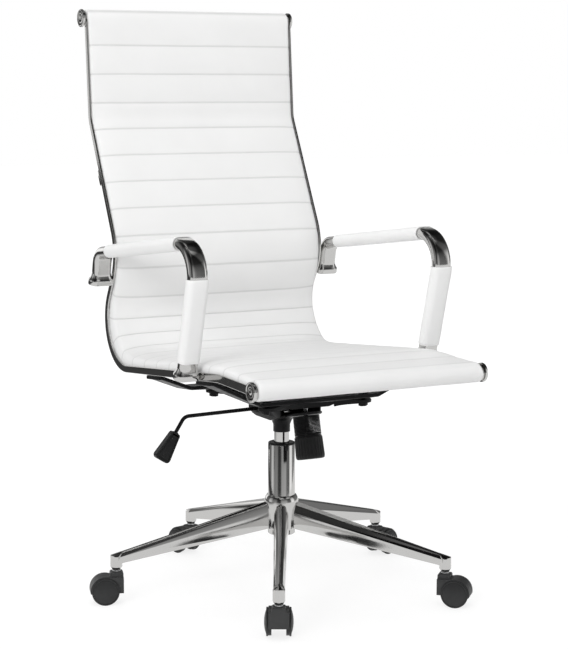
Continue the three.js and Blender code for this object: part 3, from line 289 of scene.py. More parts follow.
def mixShaders(tree, share, first, second):
    inputs = {"Fac": share, 1: first, 2: second}
    return addNode(tree, "ShaderNodeMixShader", inputs).outputs["Shader"]


def glowing(tree, strength):
    inputs = {"Color": (1, 1, 1, 1), "Strength": strength}
    return addNode(tree, "ShaderNodeEmission", inputs).outputs["Emission"]


def background(tree, strength, colour=(1, 1, 1, 1)):
    inputs = {"Color": colour, "Strength": strength}
    return addNode(tree, "ShaderNodeBackground", inputs).outputs["Background"]


# the rays of the camera, straight or through glass
def seenDirectly(tree, path):
    return maths(tree, "MAXIMUM", path["Is Camera Ray"], path["Is Transmission Ray"])


# a ramp of greys, whose first and last stops are the two that a new ramp has, at 0 and 1
def greyRamp(tree, value, stops):
    node = addNode(tree, "ShaderNodeValToRGB", {"Fac": value})
    elements = node.color_ramp.elements
    for position, level in stops[1:-1]:
        elements.new(position)
    for element, (position, level) in zip(elements, stops):
        element.color = (level, level, level, 1)
    return node.outputs["Color"]


def bumped(tree, shader, height, distance, strength=1.0, under=None):
    inputs = {"Height": height, "Distance": distance, "Strength": strength}
    if under:
        inputs["Normal"] = under
    normal = addNode(tree, "ShaderNodeBump", inputs).outputs["Normal"]
    setInputs(shader, {"Normal": normal})
    return normal


# studio
studio = {
    "floorSize": 30.0,
    "floorColour": (0.86, 0.86, 0.86),
    "floorPatches": {"scale": 3.0, "darkest": 0.985, "share": (0.97, 1.0)},
    "floorRoughness": 0.9,
    "floorShade": 0.30,  # share of the lit floor left where it is seen, so that shadows stay
    "floorGlow": 0.80,
    "farGlow": 0.92,
    "farFrom": 0.9,  # metres from the column over which the floor brightens
    "farTo": 2.6,
    "darkBehind": 0.06,  # painted shade: the floor's glow, seen in metal only, dims to this behind the chair
    "darkFrom": 1.2,
    "darkTo": 2.2,
    "darkSlant": -0.45,
    "domeLight": 0.64,
    "lampAim": (0, 0, 0.55),
    "lamps": {  # place, size, power
        "keyBox": ((-4.6, -3.4, 3.0), (2.4, 2.0), 128.0),
        "fillBox": ((2.9, -1.6, 1.9), (1.6, 1.6), 3.0),
        "backBox": ((0.6, 2.9, 2.6), (2.2, 1.2), 20.0),
        "topBox": ((-0.5, -0.9, 3.4), (1.6, 1.6), 19.0),
    },
    # the room that shiny metal sees: lit screens and dark gaps round it, and how they fade upwards
    "screens": [
        (0.00, 0.30), (0.07, 0.34), (0.10, 0.06), (0.15, 0.06), (0.18, 0.48), (0.27, 0.55),
        (0.30, 0.20), (0.36, 0.16), (0.38, 1.3), (0.43, 1.3), (0.46, 0.26), (0.56, 0.24),
        (0.59, 0.10), (0.63, 0.10), (0.66, 0.50), (0.74, 0.55), (0.76, 1.5), (0.80, 1.5),
        (0.82, 0.22), (0.90, 0.18), (0.92, 0.80), (0.96, 0.80), (1.00, 0.30),
    ],
    "rise": [
        (0.0, 1.0), (0.5, 1.0), (0.60, 0.9), (0.72, 0.55), (0.80, 0.12), (0.93, 0.05), (1.0, 0.6),
    ],
}


def makeFloor(setup):
    clearSelection()
    bpy.ops.mesh.primitive_plane_add(size=setup["floorSize"], location=(0, 0, 0))
    floor = called(bpy.context.object, "studioFloor")
    finish, tree, shader = newFinish("studioFloor")
    patches, full = setup["floorPatches"], setup["floorColour"]
    share = ranged(tree, objectNoise(tree, patches["scale"]), *patches["share"])
    colour = mixColour(tree, share, tuple(patches["darkest"] * part for part in full), full)
    setInputs(
        shader,
        {"Base Color": colour, "Roughness": setup["floorRoughness"], "Specular IOR Level": 0.1},
    )
    spot = objectPlace(tree)
    away = addNode(tree, "ShaderNodeVectorMath", {0: spot}, operation="LENGTH").outputs["Value"]
    bright = ranged(
        tree, away, setup["floorGlow"], setup["farGlow"], setup["farFrom"], setup["farTo"]
    )
    # painted reflection and shade: to glossy rays the floor glows, dimming to a painted dark behind
    # the chair
    parts = addNode(tree, "ShaderNodeSeparateXYZ", {"Vector": spot}).outputs
    behind = maths(tree, "MULTIPLY_ADD", parts["X"], setup["darkSlant"], parts["Y"])
    paintedReflectionGlow = ranged(
        tree, behind, setup["farGlow"], setup["darkBehind"], setup["darkFrom"], setup["darkTo"]
    )
    tone = (*(setup["floorShade"] * part for part in setup["floorColour"]), 1)
    dimmed = addNode(tree, "ShaderNodeBsdfDiffuse", {"Color": tone}).outputs["BSDF"]
    shown = addNode(tree, "ShaderNodeAddShader", {0: dimmed, 1: glowing(tree, bright)})
    path = addNode(tree, "ShaderNodeLightPath").outputs
    direct = seenDirectly(tree, path)
    plain = mixShaders(tree, direct, shader.outputs["BSDF"], shown.outputs["Shader"])
    mix = mixShaders(tree, path["Is Glossy Ray"], plain, glowing(tree, paintedReflectionGlow))
    setInputs(tree.nodes["Material Output"], {"Surface": mix})
    floor.data.materials.append(finish)


def makeWorld(setup):
    world = bpy.data.worlds.new("studioRoom")
    scene.world = world
    world.use_nodes = True
    tree = world.node_tree
    tree.nodes.clear()
    direction = addNode(tree, "ShaderNodeTexCoord").outputs["Generated"]
    around = addNode(tree, "ShaderNodeTexGradient", {"Vector": direction}, gradient_type="RADIAL")
    parts = addNode(tree, "ShaderNodeSeparateXYZ", {"Vector": direction}).outputs
    height = maths(tree, "MULTIPLY_ADD", parts["Z"], 0.5, 0.5)
    screens = greyRamp(tree, around.outputs["Fac"], setup["screens"])
    rise = greyRamp(tree, height, setup["rise"])
    room = background(tree, 1.0, mixColour(tree, 1.0, screens, rise, "MULTIPLY"))
    path = addNode(tree, "ShaderNodeLightPath").outputs
    dome = background(tree, setup["domeLight"])
    shiny = mixShaders(tree, path["Is Glossy Ray"], dome, room)
    seen = mixShaders(tree, seenDirectly(tree, path), shiny, background(tree, 1.0))
    addNode(tree, "ShaderNodeOutputWorld", {"Surface": seen})


def makeLamps(setup):
    for name, (position, size, power) in setup["lamps"].items():
        clearSelection()
        bpy.ops.object.light_add(type="AREA", location=position)
        lamp = bpy.context.object
        lamp.name = name
        setAll(lamp.data, shape="RECTANGLE", size=size[0], size_y=size[1], energy=power)
        aim = Vector(setup["lampAim"]) - Vector(position)
        lamp.rotation_euler = aim.to_track_quat("-Z", "Y").to_euler()
        lamp.visible_glossy = False  # polished metal shows the room's screens instead


makeFloor(studio)
makeWorld(studio)
makeLamps(studio)
scene.view_settings.view_transform = "Standard"
print("studio ready")


# finishes
def mottled(tree, look, scale, detail, roughness):
    share = ranged(tree, objectNoise(tree, scale, detail, roughness), 0.0, 1.0)
    return mixColour(tree, share, look["colour"], look["paler"])


def dulled(tree, look, scale, detail=3.0):
    return ranged(tree, objectNoise(tree, scale, detail, 0.6), *look["roughness"])


def chromeFinish(name, look):
    finish, tree, shader = newFinish(name)
    roughness = dulled(tree, look, look["smudgeScale"], 4.0)
    colour = (*look["colour"], 1)
    setInputs(shader, {"Base Color": colour, "Metallic": 1.0, "Roughness": roughness})
    bumped(tree, shader, objectNoise(tree, look["rippleScale"], 2.0, 0.4), look["rippleHeight"])
    return finish


# a mottled colour under a dull coat; mottling is the scale, detail and roughness of its noise
def coated(name, look, mottling, dullScale):
    finish, tree, shader = newFinish(name)
    colour, roughness = mottled(tree, look, *mottling), dulled(tree, look, dullScale)
    setInputs(
        shader,
        {"Base Color": colour, "Roughness": roughness, "Specular IOR Level": look["specular"]},
    )
    return finish, tree, shader, colour


def paintFinish(name, look):
    finish, tree, shader, _ = coated(name, look, (26.0, 4.0, 0.6), 90.0)
    bumped(tree, shader, objectNoise(tree, look["peelScale"], 2.0, 0.5), look["peelHeight"])
    return finish


def pebbled(tree, vector, look, randomness=1.0):
    inputs = {"Vector": vector, "Scale": look["grainScale"], "Randomness": randomness}
    return addNode(tree, "ShaderNodeTexVoronoi", inputs, feature="SMOOTH_F1").outputs["Distance"]


def mouldedFinish(name, look):
    finish, tree, shader, _ = coated(name, look, (18.0, 3.0, 0.5), 140.0)
    bumped(tree, shader, pebbled(tree, objectPlace(tree), look), look["grainHeight"])
    return finish


# coated leather: fine pebble grain, faint mottling, and seams where the piece's UV map says, their
# grooves darkened by painted shade
def leatherFinish(name, look, seams=None):
    finish, tree, shader, colour = coated(name, look, (9.0, 4.0, 0.55), 60.0)
    spot = objectPlace(tree)
    bend = addNode(
        tree, "ShaderNodeTexNoise",
        {"Vector": spot, "Scale": look["grainScale"] * look["bendScale"], "Detail": 2.0},
    )
    warped = mixColour(tree, look["bend"], spot, bend.outputs["Color"], "ADD")
    creases = objectNoise(tree, look["grainScale"] * look["creaseScale"], 4.0, 0.65)
    grain = maths(tree, "MULTIPLY_ADD", creases, look["creases"], pebbled(tree, warped, look, 0.9))
    under = None
    if seams:
        uv = addNode(tree, "ShaderNodeUVMap", uv_map=seams["uvMap"]).outputs["UV"]
        parts = addNode(tree, "ShaderNodeSeparateXYZ", {"Vector": uv}).outputs
        along = maths(tree, "SUBTRACT", parts["Y"], seams["first"])
        away = maths(tree, "PINGPONG", along, seams["pitch"] / 2)
        groove = ranged(tree, away, 1.0, 0.0, *seams["groove"])
        thread = ranged(tree, away, 1.0, 0.0, *seams["thread"])
        beat = maths(tree, "PINGPONG", parts["X"], seams["stitch"] / 2)
        thread = maths(tree, "MULTIPLY", thread, ranged(tree, beat, 0.0, 1.0, *seams["hole"]))
        # painted shade: the groove mask darkens the colour towards the seam grey
        seamPaintedShade = maths(tree, "MULTIPLY", groove, seams["seamPaintedShade"])
        seamShadedColour = mixColour(tree, seamPaintedShade, colour, seams["colour"])
        height = maths(tree, "MULTIPLY_ADD", thread, 0.5, maths(tree, "MULTIPLY", groove, -1.0))
        under = bumped(tree, shader, height, seams["depth"])
        setInputs(shader, {"Base Color": seamShadedColour})
    setInputs(shader, {"Sheen Weight": look["sheen"]})
    bumped(tree, shader, grain, look["grainHeight"], look["grainStrength"], under)
    return finish


chromeLook = {
    "colour": (0.60, 0.595, 0.585),
    "roughness": (0.06, 0.13),
    "smudgeScale": 28.0,
    "rippleScale": 34.0,
    "rippleHeight": 0.00004,
}
steelLook = {
    "colour": (0.56, 0.565, 0.57),
    "roughness": (0.18, 0.3),
    "smudgeScale": 60.0,
    "rippleScale": 220.0,
    "rippleHeight": 0.00002,
}
blackPaintLook = {
    "colour": (0.004, 0.004, 0.0044),
    "paler": (0.007, 0.007, 0.0077),
    "roughness": (0.30, 0.44),
    "specular": 0.16,
    "peelScale": 420.0,
    "peelHeight": 0.00006,
}
blackPlasticLook = {
    "colour": (0.008, 0.0082, 0.0085),
    "paler": (0.013, 0.0132, 0.0135),
    "roughness": (0.36, 0.5),
    "specular": 0.2,
    "grainScale": 1500.0,
    "grainHeight": 0.00005,
}
wheelLook = {
    "colour": (0.022, 0.0225, 0.023),
    "paler": (0.030, 0.0305, 0.031),
    "roughness": (0.4, 0.55),
    "specular": 0.35,
    "grainScale": 1100.0,
    "grainHeight": 0.00006,
}
hoodLook = dict(wheelLook, colour=(0.034, 0.0345, 0.035), paler=(0.044, 0.0445, 0.045))
leatherLook = {
    "colour": (0.845, 0.845, 0.842),
    "paler": (0.870, 0.870, 0.867),
    "roughness": (0.42, 0.56),
    "specular": 0.3,
    "sheen": 0.05,
    "grainScale": 850.0,
    "grainHeight": 0.00012,
    "grainStrength": 0.6,
    "creases": 0.6,
    "creaseScale": 0.12,  # against the grain's scale
    "bend": 0.0006,  # how far the rows of pebbles wander
    "bendScale": 0.35,
}
sleeveLook = dict(leatherLook, colour=(0.86, 0.86, 0.857), paler=(0.885, 0.885, 0.882))

chrome = chromeFinish("polishedChrome", chromeLook)
blackPlastic = mouldedFinish("blackPlastic", blackPlasticLook)
hoodPlastic = mouldedFinish("hoodPlastic", hoodLook)
slotFinish = {
    "chrome": chrome,
    "steel": chromeFinish("bareSteel", steelLook),
    "dark_steel": paintFinish("blackPaint", blackPaintLook),
    "black_plastic": blackPlastic,
    "wheel_nylon": mouldedFinish("wheelPlastic", wheelLook),
    "sleeve_leather": leatherFinish("sleeveLeather", sleeveLook),
}
print("finishes ready")


# the side line that rails and sling follow: straights joined by arcs, in (y, z)
sideLine = {
    "corners": [
        (-318, 66), (-188, 69), (373, 11.5), (246, 237), (376, 491), (392, 684), (405, 684),
    ],
    "radii": [120, 87, 96, 45, 10],
}


# a run is ("line", start, direction, length) or ("arc", centre, start, turn, length)
def roundedRuns(corners, radii):
    points = [Vector((mm(y) + columnY, mm(z) + barFloor)) for y, z in corners]
    runs = []
    start = points[0]
    for index, radius in enumerate(radii, 1):
        before = (points[index] - points[index - 1]).normalized()
        after = (points[index + 1] - points[index]).normalized()
        turn = math.atan2(before.x * after.y - before.y * after.x, before.dot(after))
        cutBack = mm(radius) * math.tan(abs(turn) / 2)
        arcStart = points[index] - before * cutBack
        runs.append(("line", start, before, (arcStart - start).length))
        side = 1 if turn > 0 else -1
        centre = arcStart + Vector((-before.y, before.x)) * side * mm(radius)
        runs.append(("arc", centre, arcStart, turn, mm(radius) * abs(turn)))
        start = points[index] + after * cutBack
    end = points[-1]
    runs.append(("line", start, (end - start).normalized(), (end - start).length))
    return runs


def runsLength(runs):
    return sum(run[-1] for run in runs)


# a point of the line and its direction, at a distance along it
def alongRuns(runs, distance):
    left = distance
    for run in runs:
        if left <= run[-1] or run is runs[-1]:
            break
        left -= run[-1]
    if run[0] == "line":
        return run[1] + run[2] * left, run[2].copy()
    turn = run[3] * left / run[-1]
    spoke = run[2] - run[1]
    x = spoke.x * math.cos(turn) - spoke.y * math.sin(turn)
    y = spoke.x * math.sin(turn) + spoke.y * math.cos(turn)
    turned = Vector((x, y))
    ahead = Vector((-turned.y, turned.x)).normalized()
    return run[1] + turned, ahead if run[3] > 0 else -ahead


sideRuns = roundedRuns(sideLine["corners"], sideLine["radii"])
sideLength = runsLength(sideRuns)

# sling: one padded, ribbed sheet wrapped round a bar at each end
slingPad = {
    "halfWidth": 0.2180,
    "ribs": 21,
    "cellsPerRib": 9,
    "endCells": 11,  # along the plain panel between a roll and the first seam
    "endCrowding": 1.4,  # how much its rows crowd towards the roll
    "columns": 48,
    "rollRadius": 0.0168,
    "rollCells": 9,
    "firstSeam": 0.0620,
    "seamFront": 0.0046,
    "seamBack": 0.0040,
    "crownFront": 0.0058,
    "crownBack": 0.0050,
    "edgeRound": 0.006,
    "edgeDrop": 0.0028,
    "edgeHeld": 0.002,
    "wallDepth": 0.016,
    "rollBlend": 0.004,
    # how far the stretched sheet stands off the rails' line, at the rails and in the middle,
    # by the share of the way from the front roll to the top roll
    "standOff": [
        (0.00, 0.0122, 0.0000), (0.05, 0.0125, 0.0030), (0.12, 0.0125, 0.0080),
        (0.38, 0.0125, 0.0095), (0.42, 0.0190, 0.0095), (0.46, 0.0300, 0.0085),
        (0.51, 0.0270, 0.0085), (0.56, 0.0120, 0.0080), (0.61, 0.0010, 0.0070),
        (0.66, 0.0000, 0.0060), (0.90, 0.0000, 0.0045), (1.00, 0.0000, 0.0000),
    ],
    "standOffBlend": 0.03,
    "fallAway": 0.022,  # how fast the middle's height is lost towards a rail
    "pressure": 4.0,
    "swellSteps": 20,
    "mostSwell": 0.0010,
    "slack": [(14, (0, 0, 0), 0.0004), (38, (7, 3, 1), 0.0002)],  # scale, offset, height
    "fill": 0.55,
}


def blendHigher(first, second, width):
    share = min(1, max(0, 0.5 + 0.5 * (first - second) / width))
    return second + (first - second) * share + width * share * (1 - share)


# the two stand-offs at a share of the way, averaged over a short stretch so that nothing kinks
def standOffAt(pad, share):
    table = pad["standOff"]
    edge = middle = 0.0
    samples = 7
    reach = min(pad["standOffBlend"], share, 1 - share)
    for step in range(samples):
        spot = share + reach * (2 * step / (samples - 1) - 1)
        for (low, lowEdge, lowMiddle), (high, highEdge, highMiddle) in zip(table, table[1:]):
            if spot <= high or high == table[-1][0]:
                t = (spot - low) / (high - low)
                edge += (lowEdge + (highEdge - lowEdge) * t) / samples
                middle += (lowMiddle + (highMiddle - lowMiddle) * t) / samples
                break
    return edge, middle


# the rows that go round the roll at one end
def rollRows(pad, end):
    point, ahead = alongRuns(sideRuns, sideLength if end else 0.0)
    radius = pad["rollRadius"]
    rows = []
    for step in range(pad["rollCells"]):  # one every 10 degrees
        angle = math.radians(10 * step)
        past = radius * (math.radians(90) - angle)
        rows.append(dict(
            mid=point + ahead * math.cos(angle) * (1 if end else -1) * radius,
            up=Vector((-ahead.y, ahead.x)), along=sideLength + past if end else -past,
            front=0.0, back=0.0, circle=math.sin(angle) * radius, lower=math.sin(angle) * radius,
            edge=0.0, middle=0.0, held=1.0, roll=1.0,
        ))
    return rows


def slingRows(pad):
    pitch = (sideLength - 2 * pad["firstSeam"]) / pad["ribs"]
    cells, ends = pad["cellsPerRib"], pad["endCells"]
    panel = [pad["firstSeam"] * (step / ends) ** pad["endCrowding"] for step in range(ends)]
    distances = list(panel)
    distances += [pad["firstSeam"] + pitch * step / cells for step in range(pad["ribs"] * cells)]
    distances += [sideLength - distance for distance in [pad["firstSeam"]] + panel[::-1]]
    rows = rollRows(pad, 0)
    radius = pad["rollRadius"]
    for distance in distances:
        point, ahead = alongRuns(sideRuns, distance)
        share = (distance - pad["firstSeam"]) / pitch
        inRib = share - math.floor(share + 1e-6)
        inside = -1e-6 <= share <= pad["ribs"] + 1e-6
        onSeam = inside and (inRib < 1e-3 or inRib > 1 - 1e-3)
        fromEnd = min(distance, sideLength - distance)
        if not inside:
            inRib = 0.5 + 0.5 * fromEnd / pad["firstSeam"]
        rise = max(0.0, 1 - abs(2 * inRib - 1) ** 3) ** 0.5
        edge, middle = standOffAt(pad, distance / sideLength)
        circle = math.sqrt(max(0.0, radius**2 - fromEnd**2))
        rows.append(dict(
            mid=point, up=Vector((-ahead.y, ahead.x)), along=distance,
            front=pad["seamFront"] + (pad["crownFront"] - pad["seamFront"]) * rise,
            back=pad["seamBack"] + (pad["crownBack"] - pad["seamBack"]) * rise,
            circle=circle,
            # the lower layer leaves the roll on a slope and meets the upper one
            lower=circle if fromEnd < 0.7 * radius else radius * 1.414 - fromEnd,
            edge=edge, middle=middle, held=1.0 if onSeam or fromEnd < radius else 0.0,
            roll=min(1.0, circle / radius * 1.5),
        ))
    return rows + rollRows(pad, 1)[::-1], pitch


# where a row's front or back lies at a distance across the chair: the front is held off the
# rails' line by a side wall, behind which the back closes up to the front
def slingPoint(pad, row, face, across):
    fromEdge = pad["halfWidth"] - abs(across)
    lift = row["edge"] + row["middle"] * (1 - math.exp(-fromEdge / pad["fallAway"]))
    rounding = 0.0
    if fromEdge < pad["edgeRound"]:
        share = 1 - fromEdge / pad["edgeRound"]
        rounding = (1 - math.sqrt(1 - share**2)) * pad["edgeDrop"] * (1 - row["roll"])
    if face == "front":
        offset = blendHigher(row["front"] + lift, row["circle"], pad["rollBlend"]) - rounding
    else:
        closed = eased(min(1.0, fromEdge / pad["wallDepth"]))
        offset = rounding - blendHigher(row["back"] - lift * closed, row["lower"], pad["rollBlend"])
    flat = row["mid"] + row["up"] * offset
    return (columnX + across, flat.x, flat.y), 1.0 if fromEdge < pad["edgeHeld"] else row["held"]


def makeSling(pad):
    rows, pitch = slingRows(pad)
    columns = pad["columns"]
    last = len(rows) - 1
    verts, uvs, held = [], [], []
    index = {}
    for rowNumber, row in enumerate(rows):
        for face in ("front",) if rowNumber in (0, last) else ("front", "back"):
            for column in range(columns + 1):
                # columns crowd towards the rails, where the sheet falls away
                across = math.sin((column / columns - 0.5) * math.pi) * 0.55
                across = (across + (2 * column / columns - 1) * 0.45) * pad["halfWidth"]
                spot, weight = slingPoint(pad, row, face, across)
                index[(rowNumber, face, column)] = len(verts)
                verts.append(spot)
                uvs.append((across, row["along"]))
                held.append(weight)

    def at(face, *corners):
        return [index[(r, "front" if r in (0, last) else face, c)] for r, c in corners]

    faces = []
    for row in range(last):
        over = row + 1
        for column in range(columns):
            ring = (row, column), (row, column + 1), (over, column + 1), (over, column)
            faces.append(at("front", *ring))
            faces.append(at("back", ring[0], *ring[:0:-1]))
        for column in (0, columns):
            ring = at("front", (row, column), (over, column))
            ring += at("back", (over, column), (row, column))
            ring = [v for i, v in enumerate(ring) if v not in ring[:i]]
            faces.append(ring if column else ring[::-1])
    mesh = bpy.data.meshes.new("slingCover")
    mesh.from_pydata(verts, [], faces)
    uvLayer = mesh.uv_layers.new(name="slingUv")
    for loop in mesh.loops:
        uvLayer.data[loop.index].uv = uvs[loop.vertex_index]
    piece = newObject("slingCover", mesh)
    group = piece.vertex_groups.new(name="sewn")
    for number, weight in enumerate(held):
        if weight > 0:
            group.add([number], weight, "REPLACE")
    outward(piece, merge=0)
    return piece, pitch


# blows the ribs up between their seams, as a cloth that is sewn down along them
def swell(piece, pad):
    before = [vert.co.copy() for vert in piece.data.vertices]
    cloth = addModifier(piece, "CLOTH")
    setAll(
        cloth.settings, quality=4, mass=0.3, tension_stiffness=22, compression_stiffness=22,
        shear_stiffness=9, bending_stiffness=0.6, use_pressure=True,
        uniform_pressure_force=pad["pressure"], vertex_group_mass="sewn",
    )
    cloth.settings.effector_weights.gravity = 0
    setAll(cloth.collision_settings, use_collision=False, use_self_collision=False)
    setAll(cloth.point_cache, frame_start=1, frame_end=pad["swellSteps"])
    for step in range(pad["swellSteps"]):
        scene.frame_set(step + 1)
    makeActive(piece)
    bpy.ops.object.modifier_apply(modifier=cloth.name)
    scene.frame_set(1)
    for vert, start in zip(piece.data.vertices, before):
        shift = vert.co - start
        if shift.length > pad["mostSwell"]:
            vert.co = start + shift.normalized() * pad["mostSwell"]


# the slack of a hand-stretched cover: a slow wave and a finer one along the normals
def addSlack(piece, pad):
    normals = [vert.normal.copy() for vert in piece.data.vertices]
    for vert, normal in zip(piece.data.vertices, normals):
        spot = vert.co.copy()
        waves = [noise.noise(spot * scale + Vector(at)) * high for scale, at, high in pad["slack"]]
        vert.co = spot + normal * sum(waves)


slingCover, slingPitch = makeSling(slingPad)
swell(slingCover, slingPad)
bake(slingCover, "SUBSURF", levels=1, render_levels=1)
addSlack(slingCover, slingPad)
smooth(slingCover, 80)
slingSeams = {
    "uvMap": "slingUv",
    "first": slingPad["firstSeam"],
    "pitch": slingPitch,
    "groove": (0.0002, 0.0026),  # from the middle of the seam, where it starts and stops to rise
    "thread": (0.0003, 0.0007),
    "stitch": 0.0042,
    "hole": (0.0004, 0.0008),  # the same between two stitches
    # painted shade in the seam grooves: how strong it is, and its grey
    "seamPaintedShade": 0.34,
    "colour": (0.46, 0.46, 0.458),
    "depth": 0.0007,
}
slingLeather = leatherFinish("slingLeather", leatherLook, slingSeams)
finishPiece(slingCover, "seat", "white_leather", ["sling"], [slingLeather])
print("sling ready", len(slingCover.data.polygons), "faces")


# building by rings
# a turned piece: a ring of points extruded and resized from one (radius, height) to the next
def turnedPiece(name, rings, sides=64, hollow=False):
    clearSelection()
    radius, height = rings[0]
    bpy.ops.mesh.primitive_circle_add(
        vertices=sides, radius=radius, fill_type="NOTHING" if hollow else "NGON",
        location=(0, 0, height),
    )
    piece = called(bpy.context.object, name)
    settle(piece)
    editAll(piece)
    for nextRadius, nextHeight in rings[1:]:
        extrudeBy(0, 0, nextHeight - height)
        scale = nextRadius / radius
        resizeAbout((0, 0, nextHeight), scale, scale, 1)
        radius, height = nextRadius, nextHeight
    leaveEdit()
    outward(piece)
    return piece


# carries the selected section on along straights and arcs that lie in the side plane
def growAlong(runs, arcStep, lineStep=None):  # steps in degrees and in metres
    for run in runs:
        if run[0] == "line":
            steps = max(1, round(run[3] / lineStep)) if lineStep else 1
            move = run[2] * (run[3] / steps)
            for _ in range(steps):
                extrudeBy(0, move.x, move.y)
        else:
            centre, turn = run[1], run[3]
            bpy.ops.mesh.spin(
                steps=max(2, round(abs(math.degrees(turn)) / arcStep)), angle=-turn,
                center=(0, centre.x, centre.y), axis=(1, 0, 0),
            )


# the part of a run list between two distances
def partOfRuns(runs, start, stop):
    part = []
    travelled = 0.0
    for run in runs:
        length = run[-1]
        low, high = max(start, travelled), min(stop, travelled + length)
        if high - low > 1e-6:
            if run[0] == "line":
                part.append(("line", run[1] + run[2] * (low - travelled), run[2], high - low))
            else:
                share = (high - low) / length
                spoke = run[2] - run[1]
                spoke.rotate(Matrix.Rotation(run[3] * (low - travelled) / length, 2))
                part.append(("arc", run[1], run[1] + spoke, run[3] * share, high - low))
        travelled += length
    return part


# a copy of a CAD node with its loose triangles merged, its edges broken and its faces smooth
def dressedCopy(node, name, edge=0.0006, segments=2, angle=38):
    piece = settle(copyOf(frame["nodes"][node], name))
    makeActive(piece)
    if piece.data.has_custom_normals:
        bpy.ops.mesh.customdata_custom_splitnormals_clear()
    editAll(piece)
    bpy.ops.mesh.remove_doubles(threshold=0.00001)
    bpy.ops.mesh.select_all(action="SELECT")
    bpy.ops.mesh.dissolve_limited(angle_limit=0.02)
    leaveEdit()
    if edge:
        bevelEdges(piece, edge, segments, angle)
    return smooth(piece, angle)


def dressedPiece(node, name, body, slotName, edge, segments=2, angle=38):
    finishPiece(dressedCopy(node, name, edge, segments, angle), body, slotName, [node])


# mirrors a piece over the chair's middle plane
def mirroredCopy(piece, name):
    twin = copyOf(piece, name)
    flip = Matrix.Translation((2 * columnX, 0, 0)) @ Matrix.Diagonal((-1, 1, 1, 1))
    twin.matrix_world = flip @ twin.matrix_world
    settle(twin)
    outward(twin, merge=0)
    return twin


# mirrors a left piece of the seat and finishes both
def finishPair(left, rightName, slotName, node):
    right = mirroredCopy(left, rightName)
    for piece, side in ((left, "left"), (right, "right")):
        finishPiece(piece, "seat", slotName, [f"{node}_{side}"])
    return left, right


# side rails
railBlade = {
    "thickness": 0.0035,
    "frontDepth": 0.016,
    "topDepth": 0.0095,
    "edge": 0.0012,
    "eye": 0.0145,
    "samples": 600,
}


def railDepth(share):
    return railBlade["frontDepth"] + (railBlade["topDepth"] - railBlade["frontDepth"]) * share


def makeRail(blade):
    middle = (railLow.x + railHigh.x) / 2
    start, ahead = alongRuns(sideRuns, 0.0)
    clearSelection()
    bpy.ops.mesh.primitive_plane_add(size=1, location=(0, 0, 0))
    rail = called(bpy.context.object, "railLeft")
    rail.scale = (blade["thickness"], blade["frontDepth"], 1)
    settle(rail)
    place(rail, (0, ahead.x, ahead.y), (middle, start.x, start.y))
    editAll(rail)
    growAlong(sideRuns, 3.0, 0.02)
    leaveEdit()
    outward(rail)
    count = blade["samples"]
    samples = [alongRuns(sideRuns, sideLength * step / count)[0] for step in range(count + 1)]
    for vert in rail.data.vertices:
        flat = Vector((vert.co.y, vert.co.z))
        nearest = min(range(count + 1), key=lambda step: (samples[step] - flat).length_squared)
        spot, depth = samples[nearest], railDepth(nearest / count)
        vert.co.y, vert.co.z = spot + (flat - spot) * depth / blade["frontDepth"]
    smooth(rail, 40)
    bevelEdges(rail, blade["edge"], 3, 50, harden=True)
    outer, inner = blade["eye"], blade["eye"] - blade["edge"]
    half = blade["thickness"] / 2
    flank = half - blade["edge"]
    for distance in (0.0, sideLength):
        point = alongRuns(sideRuns, distance)[0]
        eye = turnedPiece(
            "railEye", [(inner, -half), (outer, -flank), (outer, flank), (inner, half)]
        )
        smooth(place(eye, (1, 0, 0), (middle, point.x, point.y)), 40)
        makeActive(rail)
        eye.select_set(True)
        bpy.ops.object.join()
    return rail


finishPair(makeRail(railBlade), "railRight", "chrome", "side_rail")
print("rails ready")

# end caps of the two rolls
endCap = {
    "rings": [
        (0.0072, -0.026), (0.0075, -0.0255), (0.0075, 0.0), (0.0165, 0.0), (0.017, 0.0005),
        (0.017, 0.0039), (0.0166, 0.0046), (0.0158, 0.0050), (0.0146, 0.0050), (0.0138, 0.0047),
        (0.0134, 0.0040), (0.0134, 0.0024), (0.0106, 0.0024), (0.0106, 0.0038), (0.0102, 0.0044),
        (0.0088, 0.0045), (0.0080, 0.0043), (0.0077, 0.0036), (0.0077, 0.0026), (0.0052, 0.0026),
        (0.0051, 0.0038), (0.0044, 0.0044), (0.0022, 0.0046), (0.0006, 0.0046),
    ],
    "sides": 56,
    "darkAbove": 0.001,
    "darkBelow": 0.0030,
    "darkFrom": 0.0045,
    "darkTo": 0.0136,
}


# the floors of the turned grooves take the second, dark finish
def makeEndCap(cap):
    piece = turnedPiece("frontCapLeft", cap["rings"], cap["sides"])
    for finish in (chrome, blackPlastic):
        piece.data.materials.append(finish)
    for face in piece.data.polygons:
        corners = [piece.data.vertices[number].co for number in face.vertices]
        out = max(corner.xy.length for corner in corners)
        low = min(corner.z for corner in corners)
        sunk = cap["darkAbove"] < face.center.z < cap["darkBelow"] and low < cap["darkBelow"]
        if sunk and cap["darkFrom"] < out < cap["darkTo"]:
            face.material_index = 1
    return smooth(piece, 40)


capMaster = makeEndCap(endCap)
capStand = railHigh.x - columnX + hairGap
for end, distance in (("front", 0.0), ("top", sideLength)):
    for sideName, side in (("left", 1), ("right", -1)):
        spot = alongRuns(sideRuns, distance)[0]
        cap = copyOf(capMaster, f"{end}Cap{sideName.title()}")
        place(cap, (side, 0, 0), (columnX + side * capStand, spot.x, spot.y))
        marks = [face.material_index for face in cap.data.polygons]
        finishPiece(cap, "seat", "chrome", [f"{end}_cap_{sideName}"], [chrome, blackPlastic])
        for face, mark in zip(cap.data.polygons, marks):
            face.material_index = mark
bpy.data.objects.remove(capMaster)
print("end caps ready")

